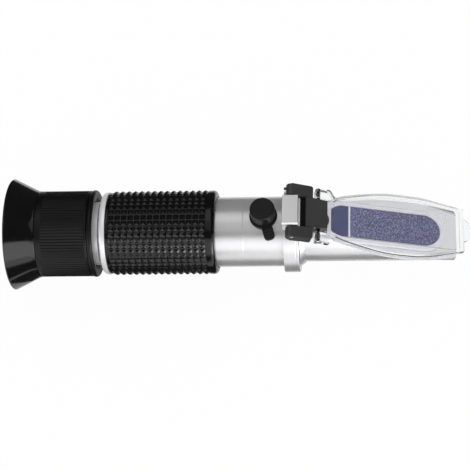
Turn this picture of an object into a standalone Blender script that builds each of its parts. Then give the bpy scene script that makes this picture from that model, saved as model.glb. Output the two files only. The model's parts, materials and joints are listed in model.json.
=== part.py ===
"""Hand-held antifreeze refractometer, built as it comes apart on a bench.

The optical axis is the X axis and the eyepiece is at -X. The prism faces up, +Z. Lengths are in metres.
Stations are distances along the optical axis from the rim of the eyecup.
"""

import math

import bmesh
import bpy
from mathutils import Vector

# Clearance between pieces that touch, and how far a cutter runs past what it cuts
FIT_GAP = 0.0003
OVERRUN = 0.002

# Facets round the large visible pieces, the inner pieces and the small pins
ROUND_STEPS = 48
INNER_STEPS = 24
PIN_STEPS = 12

# Eyecup
CUP_FLARE = 0.0046
CUP_LENGTH = 0.0102
CUP_RIM_WALL = 0.0014
CUP_RIM_BEVEL = 0.0004
CUP_FLOOR_DEPTH = 0.0039
CUP_FLOOR_THICKNESS = 0.0010
CUP_SLEEVE_WALL = 0.0021

# Focusing ring
RING_STEP = 0.0030
RING_EDGE_BEVEL = 0.0004
KNURL_INSET = 0.0016
KNURL_LENGTH = 0.0148
KNURL_DEPTH = 0.0004
KNURL_COUNT = 60
RING_BEAD_LENGTH = 0.0028
RING_BEAD_HEIGHT = 0.0002
RING_CHAMFER_LENGTH = 0.0011
RING_END_LAND = 0.0004
RING_SPIGOT_LENGTH = 0.0052
RING_WEB_THICKNESS = 0.0018
RING_WEB_INSET = 0.0013
RING_END_GAP = 0.0024

# Main tube, and the neck that stands out of its rear end
TUBE_RADIUS = 0.0124
TUBE_WALL = 0.0012
TUBE_LENGTH = 0.0628
SEAM_FROM_FRONT = 0.0140
SEAM_WIDTH = 0.0003
SEAM_DEPTH = 0.0001
NECK_STEP = 0.00106
NECK_SPIGOT_WALL = 0.00095
NECK_REAR_REACH = 0.0162
NECK_SPIGOT_LENGTH = 0.0108
NECK_SHOULDER_WIDTH = 0.00135
NECK_SHOULDER_INSET = 0.0042
END_RING_LENGTH = 0.0020
END_RING_STEP = 0.00235
END_RING_CHAMFER = 0.0016

# Rubber grip with its pyramid studs
GRIP_LENGTH = 0.0386
GRIP_RUBBER = 0.0021
STUD_HEIGHT = 0.00055
STUD_PITCH = 0.0023
STUD_ROWS = 15
STUDS_ROUND = 44
GRIP_REAR_BAND = 0.0009
GRIP_LIP_DROP = 0.0013

# Lens cell and what it holds
CELL_LENGTH = 0.0190
CELL_WALL = 0.00105
CELL_FLANGE_THICKNESS = 0.0013
CELL_LIP_WIDTH = 0.0014
CELL_LIP_THICKNESS = 0.0024
CELL_REAR_REACH = 0.0028
LOCK_RING_WIDTH = 0.00125
LOCK_RING_THICKNESS = 0.0015
LENS_RING_WIDTH = 0.0014
LENS_RING_THICKNESS = 0.0011
LENS_EDGE = 0.0010
LENS_CROWN = 0.0025
SPACER_LENGTH = 0.0116
SPACER_WALL = 0.0010
GUIDE_PIN_DIAMETER = 0.0016
GUIDE_PIN_SETBACK = 0.0030
FOCUS_TRAVEL = 0.0010
GUIDE_SLOT_SPARE = 0.0005

# Reticle
RETICLE_THICKNESS = 0.0015
RETICLE_RING_WIDTH = 0.00125
RETICLE_RING_THICKNESS = 0.0015

# Temperature compensator: a bimetal strip that carries the objective
CLAMP_SETBACK = 0.0363
CLAMP_LENGTH = 0.0040
CLAMP_WALL = 0.0033
STRIP_WIDTH = 0.0060
STRIP_THICKNESS = 0.0006
STRIP_SETBACK = 0.0020
STRIP_SCREW_DIAMETER = 0.0014
STRIP_SCREW_HEAD_DIAMETER = 0.0030
STRIP_SCREW_HEAD_HEIGHT = 0.0010
STRIP_SCREW_DEPTH = 0.0013
OBJECTIVE_CLEARANCE = 0.0032
OBJECTIVE_LENGTH = 0.0080
OBJECTIVE_FRONT_REACH = 0.0034
OBJECTIVE_WALL = 0.0012
OBJECTIVE_LIP = 0.0012
OBJECTIVE_LENS_THICKNESS = 0.0022
OBJECTIVE_CROWN = 0.0006
OBJECTIVE_RING_THICKNESS = 0.0012

# Calibration screw under its rubber cap
SCREW_FROM_TUBE_FRONT = 0.0072
SCREW_DIAMETER = 0.0022
SCREW_LENGTH = 0.0046
SCREW_SLOT_WIDTH = 0.0005
SCREW_SLOT_DEPTH = 0.0006
PAD_DIAMETER = 0.0020
PAD_HEIGHT = 0.0008
BUSH_WALL = 0.0006
BUSH_FLANGE = 0.0006
BUSH_FLANGE_HEIGHT = 0.0013
BUSH_SINK = 0.0004
CAP_TOP_DIAMETER = 0.0090
CAP_BASE_DIAMETER = 0.0096
CAP_HEIGHT = 0.0058
CAP_TOP_BEVEL = 0.0004
CAP_ROOF = 0.0028
CAP_TAB_LENGTH = 0.0052
CAP_TAB_WIDTH = 0.0038
CAP_TAB_THICKNESS = 0.0017
CAP_TAB_ANGLE = math.radians(-80)

# Front collar with the hinge lug, its lock ring and the prism housing
HOUSING_STEP = 0.00165
HOUSING_END_BEVEL = 0.0008
LIGHT_BORE_WALL = 0.00475
STEP_HEIGHT = 0.00145
STEP_LENGTH = 0.0016
COLLAR_STEP = 0.0023
COLLAR_LENGTH = 0.0052
COLLAR_BEVEL = 0.0005
COLLAR_SPIGOT_LENGTH = 0.0028
COLLAR_SHOULDER = 0.0008
COLLAR_THROAT_INSET = 0.0019
LUG_LENGTH = 0.0056
LUG_WIDTH = 0.0108
LUG_HEIGHT = 0.0034
LUG_OVERHANG = 0.00065
LUG_SINK = 0.0016
LUG_BEVEL = 0.0005
GRUB_DIAMETER = 0.0018
GRUB_LENGTH = 0.0024
GRUB_ANGLES = (math.radians(-60), math.radians(-120))
BAFFLE_INSET = 0.0020
BAFFLE_THICKNESS = 0.0012
BAFFLE_WIDTH = 0.0020

# Prism, its seal and the slanted face
FACE_ANGLE = math.radians(16.63)
PRISM_SETBACK = 0.0090
PRISM_LENGTH = 0.0377
PRISM_WIDTH = 0.0120
PRISM_END_FLAT = 0.0084
PRISM_TOP_DROP = 0.00165
PRISM_FLOOR = 0.00415
PRISM_PROUD = 0.00125
SEAL_WIDTH = 0.0010
SEAL_THICKNESS = 0.0007
NOSE_LENGTH = 0.0058

# Hinge bracket and its two pins
HINGE_PIN_DIAMETER = 0.0015
HINGE_PIN_SETBACK = 0.0033
BRACKET_THICKNESS = 0.0035
BRACKET_CLEARANCE = 0.00025
BRACKET_ARM_WIDTH = 0.0046
BRACKET_CORNER = 0.0012
THROAT_CLEARANCE = 0.00045
CROSSBAR_LENGTH = 0.0031
TONGUE_NOSE = 0.0029
TONGUE_WIDTH = 0.0106
HEEL_INSET = 0.00005
COVER_PIN_DIAMETER = 0.0013
KNUCKLE_RADIUS = 0.0015
KNUCKLE_GAP = 0.00038

# Clear daylight cover
COVER_TOP = 0.00225
COVER_PLATE_THICKNESS = 0.00135
COVER_SKIRT_DEPTH = 0.00095
COVER_WALL = 0.0010
COVER_MARGIN = 0.0047
COVER_OVERHANG = 0.0024
COVER_FLARE_LENGTH = 0.0034
COVER_PAD_WIDTH = 0.0137
COVER_PAD_END = 0.0030
EAR_RISE = 0.0006
TAB_LENGTH = 0.0027
TAB_WIDTH = 0.0086
TAB_THICKNESS = 0.0009
SKIRT_START_SHARE = 0.11
WAIST_SHARE = 0.067
# Half widths of the leaf, as (share of its length, share of its widest half width)
LEAF_SHARES = (
    (WAIST_SHARE, 0.624),
    (0.131, 0.744),
    (0.303, 0.906),
    (0.422, 0.983),
    (0.541, 1.0),
    (0.697, 0.983),
    (0.837, 0.872),
    (0.952, 0.769),
    (1.0, 0.726),
)
LEAF_SAMPLES = 16
ARC_STEPS = 10
CORNER_STEPS = 3

# Radii that follow from the main tube
tube_bore = TUBE_RADIUS - TUBE_WALL
ring_radius = TUBE_RADIUS + RING_STEP
cup_rim_radius = ring_radius + CUP_FLARE
end_ring_radius = TUBE_RADIUS + END_RING_STEP
objective_radius = tube_bore - OBJECTIVE_CLEARANCE
housing_radius = TUBE_RADIUS - HOUSING_STEP
spigot_radius = tube_bore - FIT_GAP
neck_radius = TUBE_RADIUS - NECK_STEP
neck_bore = spigot_radius - NECK_SPIGOT_WALL
neck_throat = neck_bore - NECK_SHOULDER_WIDTH
cell_radius = neck_bore - FIT_GAP
cell_bore = cell_radius - CELL_WALL
lens_radius = cell_bore - FIT_GAP
lock_ring_radius = cell_radius + FIT_GAP + LOCK_RING_WIDTH
chamber_radius = lock_ring_radius + FIT_GAP
ring_bore = neck_radius + FIT_GAP
ring_spigot_radius = ring_radius - CUP_SLEEVE_WALL - FIT_GAP
grip_bore = TUBE_RADIUS + FIT_GAP
grip_radius = TUBE_RADIUS + GRIP_RUBBER
light_bore = housing_radius - LIGHT_BORE_WALL
collar_bore = housing_radius + FIT_GAP
step_radius = housing_radius + STEP_HEIGHT
collar_radius = step_radius + COLLAR_STEP
collar_throat = spigot_radius - COLLAR_THROAT_INSET

# Stations of the eyepiece, the tube and the head
ring_start = CUP_LENGTH + FIT_GAP
knurl_start = ring_start + KNURL_INSET
knurl_end = knurl_start + KNURL_LENGTH
bead_end = knurl_end + RING_BEAD_LENGTH
ring_end = bead_end + RING_CHAMFER_LENGTH
web_start = ring_start + RING_WEB_INSET
web_end = web_start + RING_WEB_THICKNESS
end_ring_start = ring_end + RING_END_GAP
end_ring_end = end_ring_start + END_RING_LENGTH
tube_start = end_ring_end + FIT_GAP
tube_end = tube_start + TUBE_LENGTH
neck_start = end_ring_start - NECK_REAR_REACH
neck_end = end_ring_end + NECK_SPIGOT_LENGTH
cell_start = web_start - CELL_REAR_REACH
cell_end = cell_start + CELL_LENGTH
collar_start = tube_end + FIT_GAP
collar_end = collar_start + COLLAR_LENGTH
step_start = collar_end + FIT_GAP
step_end = step_start + STEP_LENGTH
housing_start = collar_start + COLLAR_SHOULDER + FIT_GAP
prism_start = step_end + PRISM_SETBACK
prism_end = prism_start + PRISM_LENGTH
housing_end = prism_end + NOSE_LENGTH
screw_station = tube_end - SCREW_FROM_TUBE_FRONT
lug_start = collar_start - LUG_OVERHANG
lug_top = collar_radius + LUG_HEIGHT

# Heights and places of the hinge, above the optical axis
prism_top = housing_radius - PRISM_TOP_DROP
prism_bottom = PRISM_FLOOR - housing_radius
half_bracket = BRACKET_THICKNESS / 2
hinge_station = lug_start + HINGE_PIN_SETBACK
bracket_drop = (step_end - hinge_station) * math.tan(FACE_ANGLE)
hinge_height = step_radius + BRACKET_CLEARANCE + half_bracket / math.cos(FACE_ANGLE) + bracket_drop
fork_throat = math.hypot(HINGE_PIN_SETBACK, lug_top - hinge_height) + THROAT_CLEARANCE
crossbar_end = fork_throat + CROSSBAR_LENGTH
cover_pin_reach = crossbar_end + KNUCKLE_GAP + KNUCKLE_RADIUS
tongue_end = cover_pin_reach + TONGUE_NOSE
fork_slot_half = LUG_WIDTH / 2 + FIT_GAP
fork_half = fork_slot_half + BRACKET_ARM_WIDTH
cover_pin_station = hinge_station + cover_pin_reach * math.cos(FACE_ANGLE)
cover_pin_height = hinge_height - cover_pin_reach * math.sin(FACE_ANGLE)

# The cover's own heights, measured square to the prism face from the cover pin
pin_over_face = (cover_pin_station - prism_start) * math.sin(FACE_ANGLE) + (
    cover_pin_height - prism_top
) * math.cos(FACE_ANGLE)
plate_top = COVER_TOP - pin_over_face
plate_bottom = plate_top - COVER_PLATE_THICKNESS
pad_bottom = FIT_GAP - pin_over_face
skirt_bottom = -COVER_SKIRT_DEPTH - pin_over_face
plate_start = TONGUE_NOSE + FIT_GAP
cover_end = (housing_end + COVER_OVERHANG - cover_pin_station) / math.cos(FACE_ANGLE)
leaf_length = cover_end - plate_start
leaf_half = PRISM_WIDTH / 2 + SEAL_WIDTH + COVER_MARGIN
tab_top = (plate_top + plate_bottom + TAB_THICKNESS) / 2

# The frame's origin is on the optical axis, half way along the whole length
overall_length = (
    cover_pin_station
    + (cover_end + TAB_LENGTH) * math.cos(FACE_ANGLE)
    + tab_top * math.sin(FACE_ANGLE)
)
rim_x = -overall_length / 2


def clear_scene():
    for old in list(bpy.data.objects):
        bpy.data.objects.remove(old, do_unlink=True)


def new_collection(name):
    collection = bpy.data.collections.new(name)
    bpy.context.scene.collection.children.link(collection)
    return collection


def material(name, colour, roughness, metallic=0.0, transmission=0.0):
    made = bpy.data.materials.new(name)
    made.use_nodes = True
    shader = made.node_tree.nodes["Principled BSDF"]
    shader.inputs["Base Color"].default_value = (*colour, 1.0)
    shader.inputs["Roughness"].default_value = roughness
    shader.inputs["Metallic"].default_value = metallic
    shader.inputs["Transmission Weight"].default_value = transmission
    made.diffuse_color = (*colour, 1.0)
    return made


def keep(name, data, finish, location=(0, 0, 0), rotation=(0, 0, 0)):
    """Makes a named part of the instrument from mesh or curve data."""
    made = bpy.data.objects.new(name, data)
    made.location = location
    made.rotation_euler = rotation
    data.materials.append(finish)
    parts.objects.link(made)
    return made


def hide_cutter(tool):
    for holder in list(tool.users_collection):
        holder.objects.unlink(tool)
    cutters.objects.link(tool)
    tool.hide_render = True
    tool.display_type = "WIRE"
    return tool


def along_axis(station, height=0.0, across=0.0):
    return (rim_x + station, across, height)


def clockwise(points):
    """The profile in the order that turns the surface outwards."""
    area = 0.0
    for (z0, r0), (z1, r1) in zip(points, points[1:] + points[:1]):
        area += r0 * z1 - r1 * z0
    return points if area < 0 else points[::-1]


def turned_mesh(name, profile):
    """The half section of a turned piece, as (station, radius) points, in the local XZ plane."""
    points = clockwise(list(profile))
    if min(radius for _, radius in points) == 0:
        while not (points[0][1] == 0 and points[-1][1] == 0):
            points = points[1:] + points[:1]
        closed = False
    else:
        closed = True
    mesh = bpy.data.meshes.new(name)
    edges = [(i, i + 1) for i in range(len(points) - 1)]
    if closed:
        edges.append((len(points) - 1, 0))
    mesh.from_pydata([(radius, 0, station) for station, radius in points], edges, [])
    return mesh


def add_screw(obj, steps):
    screw = obj.modifiers.new("turn", "SCREW")
    screw.axis = "Z"
    screw.angle = math.tau
    screw.steps = steps
    screw.render_steps = steps
    screw.use_merge_vertices = True
    screw.merge_threshold = 0.00001
    return obj


def ring_section(start, end, inner, outer):
    """The half section of a plain ring."""
    return [(start, inner), (start, outer), (end, outer), (end, inner)]


def turned(name, profile, finish, steps=ROUND_STEPS):
    """A piece turned about the optical axis; the profile's stations count from the eyecup rim."""
    made = keep(name, turned_mesh(name, profile), finish, along_axis(0), (0, math.pi / 2, 0))
    return add_screw(made, steps)


def upright(name, profile, finish, station, steps=PIN_STEPS):
    """A piece turned about a vertical line over the optical axis; its profile counts in height."""
    made = keep(name, turned_mesh(name, profile), finish, along_axis(station))
    return add_screw(made, steps)


def round_bar(name, radius, low, high, steps=PIN_STEPS):
    """A cylinder mesh along its local Z."""
    shape = bmesh.new()
    bmesh.ops.create_cone(
        shape, cap_ends=True, segments=steps, radius1=radius, radius2=radius, depth=high - low
    )
    bmesh.ops.translate(shape, verts=shape.verts, vec=(0, 0, (low + high) / 2))
    mesh = bpy.data.meshes.new(name)
    shape.to_mesh(mesh)
    shape.free()
    return mesh


def block(name, low, high, bevel=0.0):
    """A box mesh between two corners, with its edges broken by the bevel."""
    low, high = Vector(low), Vector(high)
    shape = bmesh.new()
    bmesh.ops.create_cube(shape, size=1.0)
    bmesh.ops.scale(shape, verts=shape.verts, vec=high - low)
    bmesh.ops.translate(shape, verts=shape.verts, vec=(low + high) / 2)
    if bevel:
        bmesh.ops.bevel(shape, geom=shape.edges[:], offset=bevel, segments=2, affect="EDGES", profile=0.5)
    mesh = bpy.data.meshes.new(name)
    shape.to_mesh(mesh)
    shape.free()
    return mesh


def outline_mesh(name, outlines, low, high):
    """A flat outline, with any holes after it, given thickness between two heights."""
    curve = bpy.data.curves.new(name, "CURVE")
    curve.dimensions = "2D"
    curve.fill_mode = "BOTH"
    curve.extrude = (high - low) / 2
    for outline in outlines:
        spline = curve.splines.new("POLY")
        spline.points.add(len(outline) - 1)
        for point, (x, y) in zip(spline.points, outline):
            point.co = (x, y, 0, 1)
        spline.use_cyclic_u = True
    holder = bpy.data.objects.new(name, curve)
    cutters.objects.link(holder)
    bpy.context.view_layer.update()
    mesh = bpy.data.meshes.new_from_object(holder.evaluated_get(bpy.context.evaluated_depsgraph_get()))
    bpy.data.objects.remove(holder)
    bpy.data.curves.remove(curve)
    shape = bmesh.new()
    shape.from_mesh(mesh)
    bmesh.ops.remove_doubles(shape, verts=shape.verts, dist=0.000001)
    bmesh.ops.translate(shape, verts=shape.verts, vec=(0, 0, (low + high) / 2))
    bmesh.ops.recalc_face_normals(shape, faces=shape.faces)
    shape.to_mesh(mesh)
    shape.free()
    mesh.materials.clear()
    return mesh


def tool(name, mesh, location=(0, 0, 0), rotation=(0, 0, 0), parent=None):
    made = bpy.data.objects.new(name, mesh)
    made.location = location
    made.rotation_euler = rotation
    made.parent = parent
    return hide_cutter(made)


def combine(obj, other, operation="DIFFERENCE"):
    change = obj.modifiers.new(other.name, "BOOLEAN")
    change.operation = operation
    change.object = other
    change.solver = "EXACT"
    return obj


def join(obj, other):
    return combine(obj, other, "UNION")


def pivot(name, location, rotation=(0, 0, 0), parent=None):
    made = bpy.data.objects.new(name, None)
    made.location = location
    made.rotation_euler = rotation
    made.parent = parent
    parts.objects.link(made)
    return made


def hang_on(axis, *pieces):
    """Hangs pieces, placed in the world, on an unparented pivot without moving them."""
    for piece in pieces:
        piece.parent = axis
        piece.matrix_parent_inverse = axis.matrix_basis.inverted()


def arc(centre, radius, start, end, steps=ARC_STEPS):
    cx, cy = centre
    angles = [start + (end - start) * i / steps for i in range(steps + 1)]
    return [(cx + radius * math.cos(a), cy + radius * math.sin(a)) for a in angles]


def rounded(corners, radius):
    """The corners of an outline, each replaced by a short curve that leaves and meets its edges."""
    points = []
    for i, corner in enumerate(corners):
        here = Vector(corner)
        before = Vector(corners[i - 1]) - here
        after = Vector(corners[(i + 1) % len(corners)]) - here
        reach = min(radius, before.length / 3, after.length / 3)
        start = here + before.normalized() * reach
        end = here + after.normalized() * reach
        for step in range(CORNER_STEPS + 1):
            t = step / CORNER_STEPS
            bent = start.lerp(here, t).lerp(here.lerp(end, t), t)
            points.append((bent.x, bent.y))
    return points


def mirrored(upper):
    """A closed outline from its upper half, which runs from left to right."""
    return upper + [(x, -y) for x, y in reversed(upper)]


def prism_outline(margin=0.0):
    """The stadium of the prism from above, its rear end cut flat, grown by a margin."""
    radius = PRISM_WIDTH / 2 + margin
    rear_drop = math.sqrt((PRISM_WIDTH / 2) ** 2 - (PRISM_END_FLAT / 2) ** 2)
    rear_centre = prism_start + rear_drop
    front_centre = prism_end - PRISM_WIDTH / 2
    rear_angle = math.acos((rear_drop + margin) / radius)
    upper = arc((rear_centre, 0), radius, math.pi - rear_angle, math.pi / 2)
    upper += arc((front_centre, 0), radius, math.pi / 2, 0)
    return upper + [(x, -y) for x, y in reversed(upper[:-1])]


def face_block(name, low, high):
    """A cutter lying along the prism face, between two heights square to it."""
    reach = 2 * (housing_end - housing_start)
    mesh = block(name, (-reach, -reach, low), (reach, reach, high))
    return tool(name, mesh, along_axis(prism_start, prism_top), (0, FACE_ANGLE, 0))


def leaf_half_width(share):
    """A smooth curve through the leaf's shares."""
    table = LEAF_SHARES
    last = len(table) - 1
    i = max(k for k in range(last) if table[k][0] <= share or k == 0)
    (x0, y0), (x1, y1) = table[i], table[i + 1]
    before = table[max(i - 1, 0)]
    after = table[min(i + 2, last)]
    slope_in = (y1 - before[1]) / (x1 - before[0])
    slope_out = (after[1] - y0) / (after[0] - x0)
    span = x1 - x0
    t = (share - x0) / span
    hermite = (
        (2 * t**3 - 3 * t**2 + 1) * y0
        + (t**3 - 2 * t**2 + t) * span * slope_in
        + (3 * t**2 - 2 * t**3) * y1
        + (t**3 - t**2) * span * slope_out
    )
    return leaf_half * hermite


def leaf_edge(inset=0.0, from_share=WAIST_SHARE):
    """The upper edge of the leaf from a share of its length to its end, moved inwards by an inset."""
    edge = []
    for step in range(LEAF_SAMPLES + 1):
        share = from_share + (1 - from_share) * step / LEAF_SAMPLES
        x = min(plate_start + leaf_length * share, cover_end - inset)
        edge.append((x, leaf_half_width(share) - inset))
    return edge


def build_eyecup():
    rim_inner = cup_rim_radius - CUP_RIM_WALL
    sleeve = ring_spigot_radius + FIT_GAP
    socket_start = CUP_FLOOR_DEPTH + CUP_FLOOR_THICKNESS
    profile = [
        (0, rim_inner),
        (0, cup_rim_radius - CUP_RIM_BEVEL),
        (CUP_RIM_BEVEL, cup_rim_radius),
        (CUP_LENGTH, ring_radius),
        (CUP_LENGTH, sleeve),
        (socket_start, sleeve),
        (socket_start, chamber_radius),
        (CUP_FLOOR_DEPTH, chamber_radius),
    ]
    return turned("eyecup", profile, rubber_gloss)


def build_focus_ring():
    bead = ring_radius + RING_BEAD_HEIGHT
    spigot_start = ring_start - RING_SPIGOT_LENGTH
    valley = ring_radius - KNURL_DEPTH
    profile = [
        (spigot_start, ring_spigot_radius),
        (ring_start, ring_spigot_radius),
        (ring_start, ring_radius - RING_EDGE_BEVEL),
        (ring_start + RING_EDGE_BEVEL, ring_radius),
        (knurl_start, ring_radius),
        (knurl_start, valley),
        (knurl_end, valley),
        (knurl_end, bead - RING_EDGE_BEVEL),
        (knurl_end + RING_EDGE_BEVEL, bead),
        (bead_end, bead),
        (ring_end, ring_bore + RING_END_LAND),
        (ring_end, ring_bore),
        (web_end, ring_bore),
        (web_end, neck_bore),
        (web_start, neck_bore),
        (web_start, chamber_radius),
        (spigot_start, chamber_radius),
    ]
    ring = turned("focus_ring", profile, plastic_matt)
    flutes = []
    for i in range(2 * KNURL_COUNT):
        angle = math.tau * i / (2 * KNURL_COUNT)
        radius = ring_radius if i % 2 else valley + KNURL_DEPTH / 4
        flutes.append((radius * math.cos(angle), radius * math.sin(angle)))
    inner = valley - RING_EDGE_BEVEL
    hole = arc((0, 0), inner, 0, math.tau * (1 - 1 / ROUND_STEPS), ROUND_STEPS - 1)
    margin = RING_EDGE_BEVEL / 2
    band = outline_mesh("knurl", [flutes, hole], knurl_start - margin, knurl_end + margin)
    return join(ring, tool("knurl", band, along_axis(0), (0, math.pi / 2, 0)))


def build_lens_cell():
    flange_start = web_end + FIT_GAP
    profile = [
        (cell_start, cell_bore),
        (cell_start, cell_radius),
        (flange_start, cell_radius),
        (flange_start, lock_ring_radius),
        (flange_start + CELL_FLANGE_THICKNESS, lock_ring_radius),
        (flange_start + CELL_FLANGE_THICKNESS, cell_radius),
        (cell_end, cell_radius),
        (cell_end, cell_bore - CELL_LIP_WIDTH),
        (cell_end - CELL_LIP_THICKNESS, cell_bore - CELL_LIP_WIDTH),
        (cell_end - CELL_LIP_THICKNESS, cell_bore),
    ]
    cell = turned("lens_cell", profile, anodised_black, INNER_STEPS)
    half = GUIDE_PIN_DIAMETER / 2 + FIT_GAP
    reach = GUIDE_PIN_DIAMETER / 2 + FOCUS_TRAVEL + GUIDE_SLOT_SPARE
    centre = neck_start + GUIDE_PIN_SETBACK
    low = (centre - reach, -half, -cell_radius - OVERRUN)
    high = (centre + reach, half, -lens_radius)
    return combine(cell, tool("guide_slot", block("guide_slot", low, high), along_axis(0)))


def build_cell_lock_ring():
    end = web_start - FIT_GAP
    start = end - LOCK_RING_THICKNESS
    inner = cell_radius + FIT_GAP
    profile = ring_section(start, end, inner, lock_ring_radius)
    return turned("cell_lock_ring", profile, anodised_black, INNER_STEPS)


def lens_profile(flat, edge, crown, radius, land, steps=4):
    """A lens flat on one side, from its flat face over the end of its edge to the tip of its crown."""
    curve = []
    for i in range(steps + 1):
        share = i / steps
        curve.append((edge + (crown - edge) * (1 - share * share), (radius - land) * share))
    return [(flat, 0), (flat, radius), (edge, radius)] + curve[::-1]


def build_eyepiece_lenses():
    flat = cell_start + LENS_RING_THICKNESS + 2 * FIT_GAP
    edge = flat + LENS_EDGE
    land = SPACER_WALL + FIT_GAP
    turned("eye_lens", lens_profile(flat, edge, edge + LENS_CROWN, lens_radius, land), glass, INNER_STEPS)
    spacer_start = edge + FIT_GAP
    spacer_end = spacer_start + SPACER_LENGTH
    inner = lens_radius - SPACER_WALL
    spacer = ring_section(spacer_start, spacer_end, inner, lens_radius)
    turned("lens_spacer", spacer, anodised_black, INNER_STEPS)
    field_edge = spacer_end + FIT_GAP
    field_flat = field_edge + LENS_EDGE
    field = lens_profile(field_flat, field_edge, field_edge - LENS_CROWN, lens_radius, land)
    turned("field_lens", field, glass, INNER_STEPS)
    ring_first = cell_start + FIT_GAP
    ring_last = ring_first + LENS_RING_THICKNESS
    lip = lens_radius - LENS_RING_WIDTH
    ring = ring_section(ring_first, ring_last, lip, lens_radius)
    turned("eye_lens_ring", ring, anodised_black, INNER_STEPS)


def build_guide_pin():
    radius = GUIDE_PIN_DIAMETER / 2
    low = -(ring_bore - FIT_GAP)
    high = -(lens_radius + FIT_GAP)
    mesh = round_bar("focus_guide_pin", radius, low, high)
    return keep("focus_guide_pin", mesh, steel, along_axis(neck_start + GUIDE_PIN_SETBACK))


def build_neck():
    shoulder = neck_end - NECK_SHOULDER_INSET
    profile = [
        (neck_start, neck_bore),
        (neck_start, neck_radius),
        (end_ring_end, neck_radius),
        (end_ring_end, spigot_radius),
        (neck_end, spigot_radius),
        (neck_end, neck_throat),
        (shoulder, neck_throat),
        (shoulder, neck_bore),
    ]
    neck = turned("eyepiece_neck", profile, satin_aluminium)
    hole = round_bar("guide_hole", GUIDE_PIN_DIAMETER / 2 + FIT_GAP, -neck_radius - OVERRUN, -lens_radius)
    return combine(neck, tool("guide_hole", hole, along_axis(neck_start + GUIDE_PIN_SETBACK)))


def build_reticle():
    end = neck_end - NECK_SHOULDER_INSET - FIT_GAP
    start = end - RETICLE_THICKNESS
    radius = neck_bore - FIT_GAP
    turned("reticle", [(start, 0), (start, radius), (end, radius), (end, 0)], glass, INNER_STEPS)
    last = start - FIT_GAP
    first = last - RETICLE_RING_THICKNESS
    ring = ring_section(first, last, radius - RETICLE_RING_WIDTH, radius)
    turned("reticle_ring", ring, anodised_black, INNER_STEPS)


def build_grip_end_ring():
    inner = neck_radius + FIT_GAP
    profile = [
        (end_ring_start, inner),
        (end_ring_start, end_ring_radius - END_RING_CHAMFER),
        (end_ring_end - FIT_GAP, end_ring_radius),
        (end_ring_end, end_ring_radius),
        (end_ring_end, inner),
    ]
    return turned("grip_end_ring", profile, satin_aluminium)


def build_main_tube():
    seam = tube_end - SEAM_FROM_FRONT
    profile = [
        (tube_start, tube_bore),
        (tube_start, TUBE_RADIUS),
        (seam - SEAM_WIDTH / 2, TUBE_RADIUS),
        (seam, TUBE_RADIUS - SEAM_DEPTH),
        (seam + SEAM_WIDTH / 2, TUBE_RADIUS),
        (tube_end, TUBE_RADIUS),
        (tube_end, tube_bore),
    ]
    tube = turned("main_tube", profile, satin_aluminium)
    hole = round_bar("bush_hole", SCREW_DIAMETER / 2 + BUSH_WALL + 2 * FIT_GAP, 0, TUBE_RADIUS + OVERRUN)
    return combine(tube, tool("bush_hole", hole, along_axis(screw_station)))


def grip_circle(shape, station, radius):
    """One ring of points round the optical axis, as many as there are studs."""
    ring = []
    for j in range(STUDS_ROUND):
        angle = math.tau * j / STUDS_ROUND
        ring.append(shape.verts.new((station, radius * math.cos(angle), radius * math.sin(angle))))
    return ring


def bridge(shape, first, second):
    for j in range(STUDS_ROUND):
        k = (j + 1) % STUDS_ROUND
        shape.faces.new((first[j], first[k], second[k], second[j]))


def build_grip():
    """The grip's skin is a lattice of four-sided studs, each with its point over the middle of its cell."""
    shape = bmesh.new()
    studs_start = tube_start + GRIP_REAR_BAND
    studs_end = studs_start + STUD_ROWS * STUD_PITCH
    grip_end = tube_start + GRIP_LENGTH
    lip = grip_end - studs_end
    rings = [grip_circle(shape, studs_start + i * STUD_PITCH, grip_radius) for i in range(STUD_ROWS + 1)]
    half_turn = math.pi / STUDS_ROUND
    tip = grip_radius + STUD_HEIGHT
    for i in range(STUD_ROWS):
        station = studs_start + (i + 1 / 2) * STUD_PITCH
        for j in range(STUDS_ROUND):
            k = (j + 1) % STUDS_ROUND
            angle = math.tau * j / STUDS_ROUND + half_turn
            point = shape.verts.new((station, tip * math.cos(angle), tip * math.sin(angle)))
            corners = [rings[i][j], rings[i][k], rings[i + 1][k], rings[i + 1][j]]
            for a, b in zip(corners, corners[1:] + corners[:1]):
                shape.faces.new((a, b, point))
    front = [
        grip_circle(shape, studs_end + lip / 3, grip_radius + STUD_HEIGHT / 3),
        grip_circle(shape, grip_end - lip / 3, grip_radius - GRIP_LIP_DROP / 4),
        grip_circle(shape, grip_end, grip_radius - GRIP_LIP_DROP),
        grip_circle(shape, grip_end, grip_bore),
        grip_circle(shape, tube_start, grip_bore),
        grip_circle(shape, tube_start, grip_radius),
    ]
    loop = [rings[-1]] + front + [rings[0]]
    for first, second in zip(loop, loop[1:]):
        bridge(shape, first, second)
    bmesh.ops.recalc_face_normals(shape, faces=shape.faces)
    mesh = bpy.data.meshes.new("grip_sleeve")
    shape.to_mesh(mesh)
    shape.free()
    return keep("grip_sleeve", mesh, rubber_matt, along_axis(0))


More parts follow.
